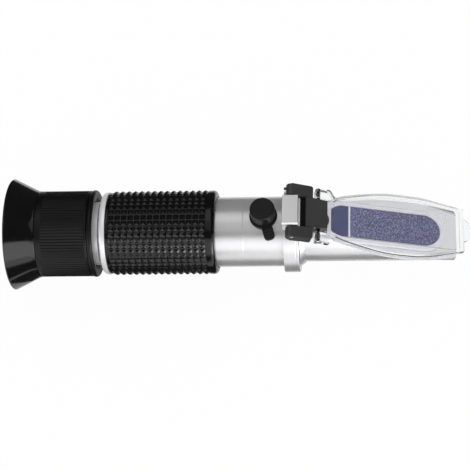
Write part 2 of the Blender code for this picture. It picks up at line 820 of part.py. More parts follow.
def build_compensator():
    """The bimetal strip, clamped at its rear end, and the objective cell that its front end carries."""
    clamp_start = tube_end - CLAMP_SETBACK
    clamp_end = clamp_start + CLAMP_LENGTH
    outer = tube_bore - FIT_GAP
    inner = outer - CLAMP_WALL
    ring = ring_section(clamp_start, clamp_end, inner, outer)
    clamp = turned("strip_clamp_ring", ring, anodised_black, INNER_STEPS)
    strip_top = -objective_radius - FIT_GAP
    strip_bottom = strip_top - STRIP_THICKNESS
    channel = block(
        "strip_channel",
        (clamp_start - OVERRUN, -STRIP_WIDTH / 2 - FIT_GAP, strip_bottom - FIT_GAP),
        (clamp_end + OVERRUN, STRIP_WIDTH / 2 + FIT_GAP, -inner / 2),
    )
    combine(clamp, tool("strip_channel", channel, along_axis(0)))
    screw_place = (clamp_start + clamp_end) / 2
    shank = STRIP_SCREW_DIAMETER / 2
    hole = round_bar("strip_hole", shank + FIT_GAP, strip_bottom - STRIP_SCREW_DEPTH - FIT_GAP, -inner / 2)
    combine(clamp, tool("strip_hole", hole, along_axis(screw_place)))
    head_low = strip_top + FIT_GAP
    head_high = head_low + STRIP_SCREW_HEAD_HEIGHT
    head = STRIP_SCREW_HEAD_DIAMETER / 2
    foot = strip_bottom - STRIP_SCREW_DEPTH
    screw = [
        (foot, 0),
        (foot, shank),
        (head_low, shank),
        (head_low, head),
        (head_high, head),
        (head_high, 0),
    ]
    upright("strip_screw", screw, steel, screw_place)
    cell_front = screw_station + OBJECTIVE_FRONT_REACH
    low = (clamp_start + FIT_GAP, -STRIP_WIDTH / 2, strip_bottom)
    high = (cell_front - STRIP_SETBACK, STRIP_WIDTH / 2, strip_top)
    strip = keep("bimetal_strip", block("bimetal_strip", low, high), brass, along_axis(0))
    combine(strip, bpy.data.objects["strip_hole"])
    axis = pivot("strip_flex_axis", along_axis(clamp_end, (strip_top + strip_bottom) / 2))
    hang_on(axis, strip, *build_objective(cell_front))


def build_objective(cell_front):
    cell_rear = cell_front - OBJECTIVE_LENGTH
    bore = objective_radius - OBJECTIVE_WALL
    lip = bore - OBJECTIVE_LIP
    cell = [
        (cell_rear, lip),
        (cell_rear, objective_radius),
        (cell_front, objective_radius),
        (cell_front, bore),
        (cell_rear + OBJECTIVE_LIP, bore),
        (cell_rear + OBJECTIVE_LIP, lip),
    ]
    radius = bore - FIT_GAP
    rear_edge = cell_rear + OBJECTIVE_LIP + FIT_GAP + OBJECTIVE_CROWN
    rear_flat = rear_edge + OBJECTIVE_LENS_THICKNESS - OBJECTIVE_CROWN
    front_flat = rear_flat + FIT_GAP
    front_edge = front_flat + OBJECTIVE_LENS_THICKNESS - OBJECTIVE_CROWN
    land = OBJECTIVE_LIP + FIT_GAP
    rear = lens_profile(rear_flat, rear_edge, rear_edge - OBJECTIVE_CROWN, radius, land)
    front = lens_profile(front_flat, front_edge, front_edge + OBJECTIVE_CROWN, radius, land)
    first = front_edge + FIT_GAP
    last = first + OBJECTIVE_RING_THICKNESS
    ring = ring_section(first, last, radius - OBJECTIVE_LIP, radius)
    return (
        turned("objective_cell", cell, anodised_black, INNER_STEPS),
        turned("objective_rear_lens", rear, glass, INNER_STEPS),
        turned("objective_front_lens", front, glass, INNER_STEPS),
        turned("objective_lock_ring", ring, anodised_black, INNER_STEPS),
    )


def build_calibration_screw():
    pad_low = objective_radius + FIT_GAP
    pad_high = pad_low + PAD_HEIGHT
    pad = round_bar("adjuster_pad", PAD_DIAMETER / 2, pad_low, pad_high)
    keep("adjuster_pad", pad, plastic_matt, along_axis(screw_station))
    low = pad_high + FIT_GAP
    high = low + SCREW_LENGTH
    radius = SCREW_DIAMETER / 2
    screw = keep("calibration_screw", round_bar("calibration_screw", radius, low, high), steel)
    screw.location = along_axis(screw_station)
    half = SCREW_SLOT_WIDTH / 2
    slot = block("screw_slot", (-half, -OVERRUN, high - SCREW_SLOT_DEPTH), (half, OVERRUN, high + OVERRUN))
    combine(screw, tool("screw_slot", slot, along_axis(screw_station)))
    bush_inner = radius + FIT_GAP
    bush_outer = bush_inner + BUSH_WALL
    flange = bush_outer + BUSH_FLANGE
    bottom = tube_bore - BUSH_SINK
    seat = TUBE_RADIUS + FIT_GAP
    top = seat + BUSH_FLANGE_HEIGHT
    profile = [
        (bottom, bush_inner),
        (bottom, bush_outer),
        (seat, bush_outer),
        (seat, flange),
        (top, flange),
        (top, bush_inner),
    ]
    upright("screw_bush", profile, brass, screw_station)
    return flange, high


def build_calibration_cap(flange, screw_top):
    """A rubber plug hood on the tube's crown, with a pull tab towards the near side."""
    base = TUBE_RADIUS - CAP_TOP_BEVEL
    top = TUBE_RADIUS + CAP_HEIGHT
    roof = max(top - CAP_ROOF, screw_top + FIT_GAP)
    bore = flange + FIT_GAP
    top_radius = CAP_TOP_DIAMETER / 2
    profile = [
        (base - CAP_TAB_THICKNESS, bore),
        (base - CAP_TAB_THICKNESS, CAP_BASE_DIAMETER / 2),
        (base + CAP_TAB_THICKNESS, CAP_BASE_DIAMETER / 2),
        (base + 2 * CAP_TAB_THICKNESS, top_radius),
        (top - CAP_TOP_BEVEL, top_radius),
        (top, top_radius - CAP_TOP_BEVEL),
        (top, 0),
        (roof, 0),
        (roof, bore),
    ]
    cap = upright("calibration_cap", profile, rubber_matt, screw_station, INNER_STEPS)
    half = CAP_TAB_WIDTH / 2
    inner = (bore + top_radius) / 2
    tip = top_radius + CAP_TAB_LENGTH - half
    outline = [(inner, -half)] + arc((tip, 0), half, -math.pi / 2, math.pi / 2) + [(inner, half)]
    tab = outline_mesh("cap_tab", [outline], base, base + CAP_TAB_THICKNESS)
    join(cap, tool("cap_tab", tab, along_axis(screw_station), (0, 0, CAP_TAB_ANGLE)))
    reach = CAP_BASE_DIAMETER
    saddle = round_bar("cap_saddle", TUBE_RADIUS + FIT_GAP, -reach, reach, ROUND_STEPS)
    combine(cap, tool("cap_saddle", saddle, along_axis(screw_station), (0, math.pi / 2, 0)))


def build_collar():
    rear = collar_start - FIT_GAP - COLLAR_SPIGOT_LENGTH
    shoulder = collar_start + COLLAR_SHOULDER
    profile = [
        (rear, collar_throat),
        (rear, spigot_radius),
        (collar_start, spigot_radius),
        (collar_start, collar_radius - COLLAR_BEVEL),
        (collar_start + COLLAR_BEVEL, collar_radius),
        (collar_end - COLLAR_BEVEL, collar_radius),
        (collar_end, collar_radius - COLLAR_BEVEL),
        (collar_end, collar_bore),
        (shoulder, collar_bore),
        (shoulder, collar_throat),
    ]
    collar = turned("hinge_collar", profile, satin_aluminium)
    half = LUG_WIDTH / 2
    low = (lug_start, -half, collar_radius - LUG_SINK)
    high = (lug_start + LUG_LENGTH, half, lug_top)
    join(collar, tool("hinge_lug", block("hinge_lug", low, high, LUG_BEVEL), along_axis(0)))
    hole = round_bar("hinge_hole", HINGE_PIN_DIAMETER / 2 + FIT_GAP, -half - OVERRUN, half + OVERRUN)
    combine(collar, tool("hinge_hole", hole, along_axis(hinge_station, hinge_height), (math.pi / 2, 0, 0)))
    middle = (collar_start + COLLAR_SHOULDER + collar_end) / 2
    for side, angle in zip(("far", "near"), GRUB_ANGLES):
        turn = (angle - math.pi / 2, 0, 0)
        outer = collar_radius - COLLAR_BEVEL
        grub = round_bar("grub", GRUB_DIAMETER / 2, outer - GRUB_LENGTH, outer)
        keep(f"collar_grub_screw_{side}", grub, steel, along_axis(middle), turn)
        bore = GRUB_DIAMETER / 2 + FIT_GAP
        hole = round_bar("grub_hole", bore, collar_bore - OVERRUN, collar_radius + OVERRUN)
        combine(collar, tool(f"grub_hole_{side}", hole, along_axis(middle), turn))
    return collar


def build_lock_ring():
    bevel = COLLAR_BEVEL
    profile = [
        (step_start, collar_bore),
        (step_start, step_radius),
        (step_end - bevel, step_radius),
        (step_end, step_radius - bevel),
        (step_end, collar_bore),
    ]
    return turned("collar_lock_ring", profile, satin_aluminium)


def build_prism_housing():
    bore_end = prism_start + OVERRUN / 2
    profile = [
        (bore_end, 0),
        (bore_end, light_bore),
        (housing_start, light_bore),
        (housing_start, housing_radius),
        (housing_end - HOUSING_END_BEVEL, housing_radius),
        (housing_end, housing_radius - HOUSING_END_BEVEL),
        (housing_end, 0),
    ]
    housing = turned("prism_housing", profile, satin_aluminium)
    combine(housing, face_block("face_cut", -PRISM_PROUD, 4 * housing_radius))
    outline = prism_outline(FIT_GAP)
    pocket = outline_mesh("prism_pocket", [outline], prism_bottom - FIT_GAP, 2 * housing_radius)
    combine(housing, tool("prism_pocket", pocket, along_axis(0)))
    start = housing_start + BAFFLE_INSET
    end = start + BAFFLE_THICKNESS
    outer = light_bore - FIT_GAP
    baffle = ring_section(start, end, outer - BAFFLE_WIDTH, outer)
    turned("light_baffle", baffle, anodised_black, INNER_STEPS)
    return housing


def build_prism():
    column = outline_mesh("prism", [prism_outline()], prism_bottom, 2 * housing_radius)
    prism = keep("prism", column, blue_glass, along_axis(0))
    return combine(prism, face_block("prism_cut", 0, 4 * housing_radius))


def build_prism_seal():
    loops = [prism_outline(FIT_GAP + SEAL_WIDTH), prism_outline(FIT_GAP)]
    column = outline_mesh("prism_seal", loops, -2 * housing_radius, 2 * housing_radius)
    seal = keep("prism_seal", column, sealant, along_axis(0))
    low = FIT_GAP - PRISM_PROUD
    return combine(seal, face_block("seal_slab", low, low + SEAL_THICKNESS), "INTERSECT")


def cross_bar(name, radius, half_length, steps=PIN_STEPS):
    """A cylinder across the instrument, centred on its own origin."""
    mesh = round_bar(name, radius, -half_length, half_length, steps)
    shape = bmesh.new()
    shape.from_mesh(mesh)
    for vert in shape.verts:
        vert.co = (vert.co.x, vert.co.z, -vert.co.y)
    shape.to_mesh(mesh)
    shape.free()
    return mesh


def build_hinge_bracket():
    axis = pivot("bracket_axis", along_axis(hinge_station, hinge_height), (0, FACE_ANGLE, 0))
    tongue = TONGUE_WIDTH / 2
    corners = [
        (0, fork_half),
        (crossbar_end, fork_half),
        (crossbar_end, tongue),
        (tongue_end, tongue),
        (tongue_end, -tongue),
        (crossbar_end, -tongue),
        (crossbar_end, -fork_half),
        (0, -fork_half),
        (0, -fork_slot_half),
        (fork_throat, -fork_slot_half),
        (fork_throat, fork_slot_half),
        (0, fork_slot_half),
    ]
    outline = rounded(corners, BRACKET_CORNER)
    plate = outline_mesh("hinge_bracket", [outline], -half_bracket, half_bracket)
    bracket = keep("hinge_bracket", plate, plastic_matt)
    bracket.parent = axis
    arm_middle = (fork_half + fork_slot_half) / 2
    heel = cross_bar("heel", half_bracket - HEEL_INSET, BRACKET_ARM_WIDTH / 2 - HEEL_INSET)
    for side in (1, -1):
        join(bracket, tool(f"heel_{side}", heel, (0, side * arm_middle, 0), parent=axis))
    bore = cross_bar("arm_bore", HINGE_PIN_DIAMETER / 2 + FIT_GAP, fork_half + OVERRUN)
    combine(bracket, tool("arm_bore", bore, parent=axis))
    bore = cross_bar("tongue_bore", COVER_PIN_DIAMETER / 2 + FIT_GAP, tongue + OVERRUN)
    combine(bracket, tool("tongue_bore", bore, (cover_pin_reach, 0, 0), parent=axis))
    saddle = round_bar(
        "bracket_saddle", collar_radius + FIT_GAP, lug_start - OVERRUN, collar_end + FIT_GAP, ROUND_STEPS
    )
    combine(bracket, tool("bracket_saddle", saddle, along_axis(0), (0, math.pi / 2, 0)))
    bar = cross_bar("hinge_pin", HINGE_PIN_DIAMETER / 2, fork_half)
    keep("hinge_pin", bar, steel, along_axis(hinge_station, hinge_height))
    bar = cross_bar("cover_pin", COVER_PIN_DIAMETER / 2, fork_half - FIT_GAP)
    cover_pin = keep("cover_pin", bar, steel)
    cover_pin.parent = axis
    cover_pin.location = (cover_pin_reach, 0, 0)
    return pivot("cover_axis", (cover_pin_reach, 0, 0), parent=axis)


def build_daylight_cover(axis):
    """The leaf-shaped clear plate: ears at the pin, a skirt round its edge and a pad over the prism."""
    flare_end = plate_start + COVER_FLARE_LENGTH / 4
    upper = [(plate_start, fork_half), (flare_end, fork_half)] + leaf_edge()
    body = outline_mesh("daylight_cover", [mirrored(upper)], skirt_bottom, plate_top)
    cover = keep("daylight_cover", body, clear_plastic)
    cover.parent = axis
    skirt_start = plate_start + leaf_length * SKIRT_START_SHARE
    wide = 2 * leaf_half
    rear = plate_start - OVERRUN
    hollow = [(rear, wide), (skirt_start, wide)] + leaf_edge(COVER_WALL, SKIRT_START_SHARE)
    cavity = outline_mesh("cover_hollow", [mirrored(hollow)], skirt_bottom - OVERRUN, plate_bottom)
    combine(cover, tool("cover_hollow", cavity, parent=axis))
    inside = (plate_top + plate_bottom) / 2
    half_pad = COVER_PAD_WIDTH / 2
    pad = block(
        "cover_pad",
        (plate_start + FIT_GAP, -half_pad, pad_bottom),
        (cover_end - COVER_PAD_END, half_pad, inside),
    )
    join(cover, tool("cover_pad", pad, parent=axis))
    add_cover_ears(cover, axis, inside)
    tip = []
    for angle in [math.pi * (i / ARC_STEPS - 1 / 2) for i in range(ARC_STEPS + 1)]:
        tip.append((cover_end + TAB_LENGTH * math.cos(angle), TAB_WIDTH / 2 * math.sin(angle)))
    root = cover_end - COVER_WALL / 2
    tip = [(root, -TAB_WIDTH / 2)] + tip + [(root, TAB_WIDTH / 2)]
    tab = outline_mesh("cover_tab", [tip], tab_top - TAB_THICKNESS, tab_top)
    return join(cover, tool("cover_tab", tab, parent=axis))


def add_cover_ears(cover, axis, inside):
    tongue = TONGUE_WIDTH / 2 + FIT_GAP
    ear_middle = (fork_half + tongue) / 2
    ear_half = (fork_half - tongue) / 2 - HEEL_INSET
    knuckle = cross_bar("knuckle", KNUCKLE_RADIUS, ear_half)
    ear_end = plate_start + COVER_FLARE_LENGTH / 4 - HEEL_INSET
    ear_top = KNUCKLE_RADIUS - EAR_RISE
    for side in (1, -1):
        centre = side * ear_middle
        low = (0, centre - ear_half, plate_bottom + HEEL_INSET)
        high = (ear_end, centre + ear_half, ear_top)
        join(cover, tool(f"ear_{side}", block("ear", low, high), parent=axis))
        join(cover, tool(f"knuckle_{side}", knuckle, (0, centre, 0), parent=axis))
    bore = cross_bar("ear_bore", COVER_PIN_DIAMETER / 2 + FIT_GAP, fork_half + OVERRUN)
    combine(cover, tool("ear_bore", bore, parent=axis))


def settle():
    """Turns each part's modifiers into its mesh and shades it, smooth but for its real edges."""
    bpy.context.view_layer.update()
    graph = bpy.context.evaluated_depsgraph_get()
    finished = []
    for obj in parts.objects:
        if obj.type == "MESH":
            finished.append((obj, bpy.data.meshes.new_from_object(obj.evaluated_get(graph))))
    for obj, mesh in finished:
        obj.modifiers.clear()
        mesh.name = obj.name
        obj.data = mesh
        mesh.shade_smooth()
        mesh.set_sharp_from_angle(angle=math.radians(30))


clear_scene()
parts = new_collection("antifreeze_refractometer")
cutters = new_collection("cutters")

satin_aluminium = material("satin_aluminium", (0.80, 0.80, 0.81), 0.32, 1.0)
steel = material("steel", (0.62, 0.62, 0.63), 0.25, 1.0)
brass = material("brass", (0.72, 0.55, 0.28), 0.35, 1.0)
anodised_black = material("anodised_black", (0.03, 0.03, 0.03), 0.5, 0.6)
rubber_gloss = material("rubber_gloss", (0.012, 0.012, 0.013), 0.12)
rubber_matt = material("rubber_matt", (0.018, 0.018, 0.018), 0.55)
plastic_matt = material("plastic_matt", (0.022, 0.022, 0.023), 0.45)
clear_plastic = material("clear_plastic", (0.93, 0.95, 0.96), 0.05, 0.0, 1.0)
glass = material("glass", (0.90, 0.94, 0.95), 0.02, 0.0, 1.0)
blue_glass = material("blue_glass", (0.10, 0.10, 0.26), 0.25)
sealant = material("sealant", (0.72, 0.73, 0.86), 0.45)

build_eyecup()
build_focus_ring()
build_lens_cell()
build_cell_lock_ring()
build_eyepiece_lenses()
build_guide_pin()
build_neck()
build_reticle()
build_grip_end_ring()
build_main_tube()
build_grip()
build_compensator()
build_calibration_cap(*build_calibration_screw())
build_collar()
build_lock_ring()
build_prism_housing()
build_prism()
build_prism_seal()
build_daylight_cover(build_hinge_bracket())
settle()
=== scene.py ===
"""Dresses a hand-held antifreeze refractometer: its fine meshes, finishes, studio and camera.

Lengths are in metres. The optical axis is the X axis, the eyepiece is at -X and the prism faces up, +Z.
"""

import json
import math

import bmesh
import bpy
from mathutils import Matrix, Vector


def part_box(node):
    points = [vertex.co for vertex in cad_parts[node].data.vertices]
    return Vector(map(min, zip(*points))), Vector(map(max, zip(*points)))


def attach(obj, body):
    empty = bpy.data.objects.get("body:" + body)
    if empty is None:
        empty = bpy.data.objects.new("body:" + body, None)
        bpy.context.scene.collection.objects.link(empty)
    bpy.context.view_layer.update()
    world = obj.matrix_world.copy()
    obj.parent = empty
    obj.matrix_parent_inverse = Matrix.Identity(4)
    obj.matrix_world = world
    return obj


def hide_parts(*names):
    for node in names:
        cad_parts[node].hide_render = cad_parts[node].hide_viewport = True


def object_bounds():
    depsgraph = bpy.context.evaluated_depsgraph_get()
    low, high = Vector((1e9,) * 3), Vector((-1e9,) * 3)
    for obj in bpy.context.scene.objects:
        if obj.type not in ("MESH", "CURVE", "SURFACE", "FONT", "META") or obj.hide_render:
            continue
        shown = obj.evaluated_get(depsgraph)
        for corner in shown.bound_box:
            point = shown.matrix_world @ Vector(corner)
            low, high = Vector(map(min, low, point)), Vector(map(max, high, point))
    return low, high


bl_info = {
    "name": "Antifreeze refractometer",
    "version": (1, 0, 0),
    "blender": (4, 5, 0),
    "location": "3D View > Sidebar > Refractometer",
    "description": "Models and finishes a hand-held antifreeze refractometer round its packed frame",
    "category": "Object",
}

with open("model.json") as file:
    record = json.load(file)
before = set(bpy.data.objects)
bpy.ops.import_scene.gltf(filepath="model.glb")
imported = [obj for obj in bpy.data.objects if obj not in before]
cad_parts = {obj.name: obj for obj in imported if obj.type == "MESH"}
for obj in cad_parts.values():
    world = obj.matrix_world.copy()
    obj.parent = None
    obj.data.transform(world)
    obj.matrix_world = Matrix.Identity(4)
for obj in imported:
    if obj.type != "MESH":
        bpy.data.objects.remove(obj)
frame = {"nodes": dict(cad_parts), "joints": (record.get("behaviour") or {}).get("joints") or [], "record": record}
cad_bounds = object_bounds()

# Segments of a turned piece, of the glass, of a bar seen from close by, and of other bars.
ROUND = 192
GLASS_ROUND = 96
CLOSE_ROUND = 64
BAR_ROUND = 48
# How far apart two points may be and still count as one.
MERGE = 0.000002
# Radius of a section's point on the axis.
AXIS = 0.000001
# Usual air between two pieces.
GAP = 0.0003
# Edges that turn by less than this are shaded smooth.
SMOOTH_ANGLE = math.radians(32)
WHITE = (1.0, 1.0, 1.0, 1.0)

# The cover's leaf: share of its length, and its far and near half width as shares of the widest.
LEAF_SHARES = (
    (0.067, 0.64, 0.64),
    (0.131, 0.744, 0.744),
    (0.303, 0.906, 0.906),
    (0.422, 0.983, 0.983),
    (0.541, 1.0, 1.0),
    (0.697, 0.983, 0.965),
    (0.837, 0.880, 0.830),
    (0.952, 0.800, 0.690),
    (1.0, 0.770, 0.630),
)

# How the plate's sides draw in from its wide root: share of the way along, share of the way in.
NECK_DROPS = ((0.25, 0.16), (0.5, 0.5), (0.75, 0.84))

# The softboxes: name, place, and width and height. The level of that name is their radiance.
SOFTBOXES = (
    ("front", (0.36, -1.0, 0.36), (1.35, 0.72)),
    ("left", (-1.0, -0.45, 0.32), (0.75, 0.55)),
    ("overhead", (-0.12, 0.1, 1.3), (1.2, 1.6)),
    ("back", (-0.13, 0.50, 1.05), (0.8, 0.75)),
)

# The dark cards on the floor, which only mirrored rays meet: the near card is a painted shadow of the instrument
# on the floor as metal mirrors it, and the rear card darkens the floor that the eyecup mirrors. Each row gives
# name, rear near corner, length and depth.
DARK_CARDS = (
    ("near_card", (-0.076, -0.037), (0.16, 0.023)),
    ("rear_card", (-0.076, -0.45), (0.054, 0.408)),
)

# The bright card that the studs mirror: its rear near corner and its front far top corner.
GLINT_CORNERS = ((0.09, -0.19), (0.0905, -0.07, 0.05))

CAMERA_PLACE = (0.055558, -0.2518, 0.5138)
CAMERA_AHEAD = (-0.0993, 0.4362, -0.8944)
CAMERA_UP = (0.0113, 0.8992, 0.4373)

slot_of_node = {entry["node"]: entry["material_slot"] for entry in frame["record"]["subparts"]}
body_of_node = {}
for body_name, members in frame["record"]["behaviour"]["bodies"].items():
    for member in members:
        body_of_node[member] = body_name
joint_places = {joint["name"]: joint.get("pos_m") for joint in frame["joints"]}

finishes = {}


def length(name, description, default):
    return bpy.props.FloatProperty(
        name=name, description=description, default=default, min=0.0, unit="LENGTH", precision=5
    )


def count(name, description, default):
    return bpy.props.IntProperty(
        name=name, description=description, default=default, min=3, subtype="UNSIGNED"
    )


def colour(name, description, default):
    return bpy.props.FloatVectorProperty(
        name=name, description=description, default=default, min=0.0, max=1.0, size=3, subtype="COLOR"
    )


def share(name, description, default):
    return bpy.props.FloatProperty(
        name=name, description=description, default=default, min=0.0, max=1.0, subtype="FACTOR"
    )


def level(name, description, default):
    return bpy.props.FloatProperty(
        name=name, description=description, default=default, min=0.0, subtype="UNSIGNED"
    )


def slant(name, description, degrees):
    return bpy.props.FloatProperty(
        name=name, description=description, default=math.radians(degrees), subtype="ANGLE"
    )


class RefractometerEyepiece(bpy.types.PropertyGroup):
    rim_rounding: length("Rim rounding", "Radius on the edges of the eyecup's rim", 0.00045)
    flare_knee: share("Flare knee", "Where the flare bends to meet the ring, in flare lengths", 0.95)
    rim_wall: length("Rim wall", "Thickness of the rubber at the eyecup's rim", 0.0014)
    sleeve_wall: length("Sleeve wall", "Thickness of the rubber over the ring's spigot", 0.0023)
    floor_setback: length("Floor setback", "From the rim back to the eyecup's floor", 0.0039)
    floor_wall: length("Floor wall", "Thickness of the eyecup's floor", 0.0010)
    floor_bevel: length("Floor bevel", "Bevel round the hole in the eyecup's floor", 0.0006)
    flare_foot: length("Flare foot", "Drop of the flare below the ring where the two meet", 0.0002)
    flare_bend: share("Flare bend", "Roundness of the flare where it meets the ring", 0.10)
    ring_joint: length("Ring joint", "Air between the eyecup and the ring's shoulder", 0.00008)
    shoulder_bevel: length("Shoulder bevel", "Bevel on the ring's shoulder", 0.0001)
    spigot_drop: length("Spigot drop", "From the ring's top down to its spigot", 0.0024)
    knurl_ribs: count("Knurl ribs", "Ribs round the focusing ring", 90)
    knurl_depth: length("Knurl depth", "Depth of the grooves between the ribs", 0.00022)
    knurl_start: length("Knurl start", "From the ring's shoulder to the first groove", 0.0023)
    knurl_length: length("Knurl length", "Length of the grooved band", 0.0152)
    knurl_slope: length("Knurl slope", "Length of the slope at the end of a groove", 0.00025)
    bead_length: length("Bead length", "Length of the round bead at the ring's front", 0.0019)
    bead_rise: length("Bead rise", "How far the bead stands over the ring", 0.0002)
    bead_rounding: length("Bead rounding", "Fall of the bead on either side", 0.0009)
    bead_fullness: share("Bead fullness", "How full the bead's top is; 1 is an arc", 0.8)
    cup_depth: length("Cup depth", "Depth of the hollow in the ring's front end", 0.0011)
    cup_ledge: length("Cup ledge", "Width of the hollow round the neck", 0.0020)
    neck_reach: length("Neck reach", "How far the neck reaches into the ring", 0.0060)
    cell_clearance: length("Cell clearance", "Air round the cell in the ring's bore", 0.0004)
    lens_sag: share("Lens sag", "Height of a lens's curve, in thicknesses of the lens", 0.27)


class RefractometerGrip(bpy.types.PropertyGroup):
    stud_rows: count("Stud rows", "Rows of studs along the grip", 15)
    studs_round: count("Studs round", "Studs round the grip", 44)
    stud_height: length("Stud height", "Height of a stud over the rubber between", 0.00062)
    stud_gap: length("Stud gap", "Width of the groove between two studs", 0.00016)
    rear_band: length("Rear band", "Smooth rubber behind the first row", 0.0009)
    front_band: length("Front band", "Smooth rubber and bead before the front edge", 0.0032)
    rubber: length("Rubber", "Thickness of the rubber between the studs", 0.0018)
    bead_rounding: length("Bead rounding", "Rounding of the grip's front edge", 0.0015)
    bead_drop: length("Bead drop", "From the studs' points down to the bead's top", 0.0002)


class RefractometerBarrel(bpy.types.PropertyGroup):
    edge: length("Edge", "Rounding of a turned edge", 0.00015)
    ring_nose: length("Ring nose", "Radius of the end ring's crown", 0.0017)
    neck_groove: length("Neck groove", "Width of the dark groove before the end ring", 0.0011)
    seam_setback: length("Seam setback", "From the tube's front end back to its seam", 0.0140)
    seam_width: length("Seam width", "Width of the seam's groove", 0.00024)
    seam_depth: length("Seam depth", "Depth of the seam's groove", 0.00007)
    bush_hole: length("Bush hole", "Radius of the hole for the screw's bush", 0.0023)


class RefractometerCap(bpy.types.PropertyGroup):
    edge: length("Edge", "Rounding of the small edges", 0.0003)
    bush_stem: length("Bush stem", "Radius of the bush inside the tube's wall", 0.0019)
    drum_radius: length("Drum radius", "Radius of the cap's drum", 0.00435)
    top_rounding: length("Top rounding", "Rounding of the drum's top edge", 0.0004)
    brim_radius: length("Brim radius", "Radius of the brim at the cap's foot", 0.0049)
    brim_height: length("Brim height", "Height of the brim over the tube's crown", 0.0006)
    tab_length: length("Tab length", "How far the tab reaches past the drum", 0.0051)
    tab_width: length("Tab width", "Width of the tab", 0.0038)
    tab_thickness: length("Tab thickness", "Thickness of the tab", 0.0015)
    tab_rise: length("Tab rise", "Height of the tab's top over the tube's crown", 0.0014)
    tab_ribs: count("Tab ribs", "Ribs across the tab", 3)
    rib_radius: length("Rib radius", "Radius of a rib", 0.00018)
    root: share("Root", "Where the cap starts before the tube is cut out of it, in tube radii", 0.7)
    rib_reach: share("Rib reach", "Length of a rib, in widths of the tab", 0.7)
    first_rib: share("First rib", "From the tab's tip to its first rib, in lengths of the tab", 0.25)
    rib_pitch: share("Rib pitch", "From one rib to the next, in lengths of the tab", 0.22)
    tab_corner: share("Tab corner", "Rounding of the tab's corners, in half widths", 0.75)
    tab_droop: slant("Tab droop", "How far the tab leans down", 9)
    tab_angle: slant("Tab angle", "Where the tab points, from the front", -73)


class RefractometerHinge(bpy.types.PropertyGroup):
    edge: length("Edge", "Rounding of the lug's edges", 0.0002)
    collar_rounding: length("Collar rounding", "Rounding of the collar's edges", 0.0003)
    collar_shift: length("Collar shift", "How far the collar sits back over the tube's end", 0.0004)
    collar_joint: length("Collar joint", "Width of the joints on either side of the collar", 0.00012)
    collar_line: length("Collar line", "From the collar's front edge back to its fine line", 0.00095)
    lug_length: length("Lug length", "Length of the lug along the tube", 0.0056)
    lug_width: length("Lug width", "Width of the lug", 0.0108)
    lug_near: length("Lug near side", "How much wider the lug is on its near side", 0.0005)
    lug_overhang: length("Lug overhang", "How far the lug reaches back over the tube", 0.0001)
    lug_sink: length("Lug sink", "How far the lug goes into the collar", 0.0016)
    lug_chamfer: length("Lug chamfer", "Chamfer on the lug's near edge", 0.0007)
    step_length: length("Step length", "Length of the low step before the lug", 0.00065)
    step_drop: length("Step drop", "From the lug's top down to its step", 0.0025)
    grub_radius: length("Set screw radius", "Radius of a set screw", 0.0009)
    grub_length: length("Set screw length", "Length of a set screw", 0.0022)
    pin_radius: length("Hinge pin radius", "Radius of the pin through the lug", 0.00075)
    cover_pin_radius: length("Cover pin radius", "Radius of the cover's pin", 0.00065)
    bracket_thickness: length("Bracket thickness", "Thickness of the bracket", 0.0035)
    crossbar: length("Crossbar", "Length of the bar between fork and tongue", 0.00245)
    crossbar_setback: length("Crossbar setback", "From the cover's pin back to the bar", 0.00230)
    # The shim is a dark piece in the bracket's throat: a painted shadow behind the bar.
    shade_shim_length: length("Shim length", "Length of the dark shim behind the bar", 0.0016)
    shade_shim_drop: length("Shim drop", "From the bracket's top down to the shim", 0.0013)
    tongue_width: length("Tongue width", "Width of the tongue between the cover's ears", 0.0106)
    tongue_near: length("Tongue near side", "How much wider the tongue is on its near side", 0.0005)
    tongue_nose: length("Tongue nose", "From the cover's pin to the tongue's end", 0.0029)
    tongue_taper: length("Tongue taper", "Narrowing of the tongue's far side", 0.0005)
    lip_reach: length("Lip reach", "How far the round lip reaches past the tongue", 0.0014)
    lip_radius: length("Lip radius", "Radius of the lip under the tongue's end", 0.0038)
    lip_height: length("Lip height", "Thickness of the lip", 0.0006)
    lip_shift: length("Lip shift", "How far the lip sits to the near side", 0.0010)
    near_corner: length("Near corner", "Rounding of the near outer corner", 0.0007)
    far_corner: length("Far corner", "Rounding of the far outer corner", 0.0007)
    tongue_corner: length("Tongue corner", "Rounding of the tongue's corners", 0.0004)
    fillet: length("Fillet", "Rounding of the inner corners", 0.0007)
    heel_reach: length("Heel reach", "From the hinge pin back to the arms' round ends", 0.0004)
    heel_rounding: length("Heel rounding", "Rounding of the arms' rear corners", 0.0005)
    bracket_rounding: length("Bracket rounding", "Rounding of the bracket's edges", 0.0002)
    nib: length("Nib", "Size of the small nib behind the far arm", 0.0008)


class RefractometerPrism(bpy.types.PropertyGroup):
    edge: length("Edge", "Rounding of the housing's and the prism's edges", 0.00012)
    bore_wall: length("Bore wall", "Wall round the housing's light bore", 0.0046)
    nose_bevel: length("Nose bevel", "Bevel at the housing's front end", 0.0008)
    proud: length("Proud", "Height of the prism face over the housing's face", 0.00125)
    pocket: length("Pocket", "Depth of the prism's pocket under its face", 0.0042)
    rear_share: share("Rear share", "Place of the rear arc's centre, in half widths", 0.714)
    far_inset: length("Far inset", "How much narrower the prism is on its far side", 0.0004)
    line_station: length("Line station", "From the prism's rear end to the far edge of its line", 0.0063)
    line_width: length("Line width", "Width of the pale line across the prism", 0.0006)
    line_blur: length("Line blur", "Width over which the line fades at its edges", 0.0002)
    seal_width: length("Seal width", "Width of the compound round the prism", 0.0020)
    seal_drop: length("Seal drop", "From the prism face down to the compound's top", 0.00012)
    seal_rounding: length("Seal rounding", "Rounding of the compound's edges", 0.00035)


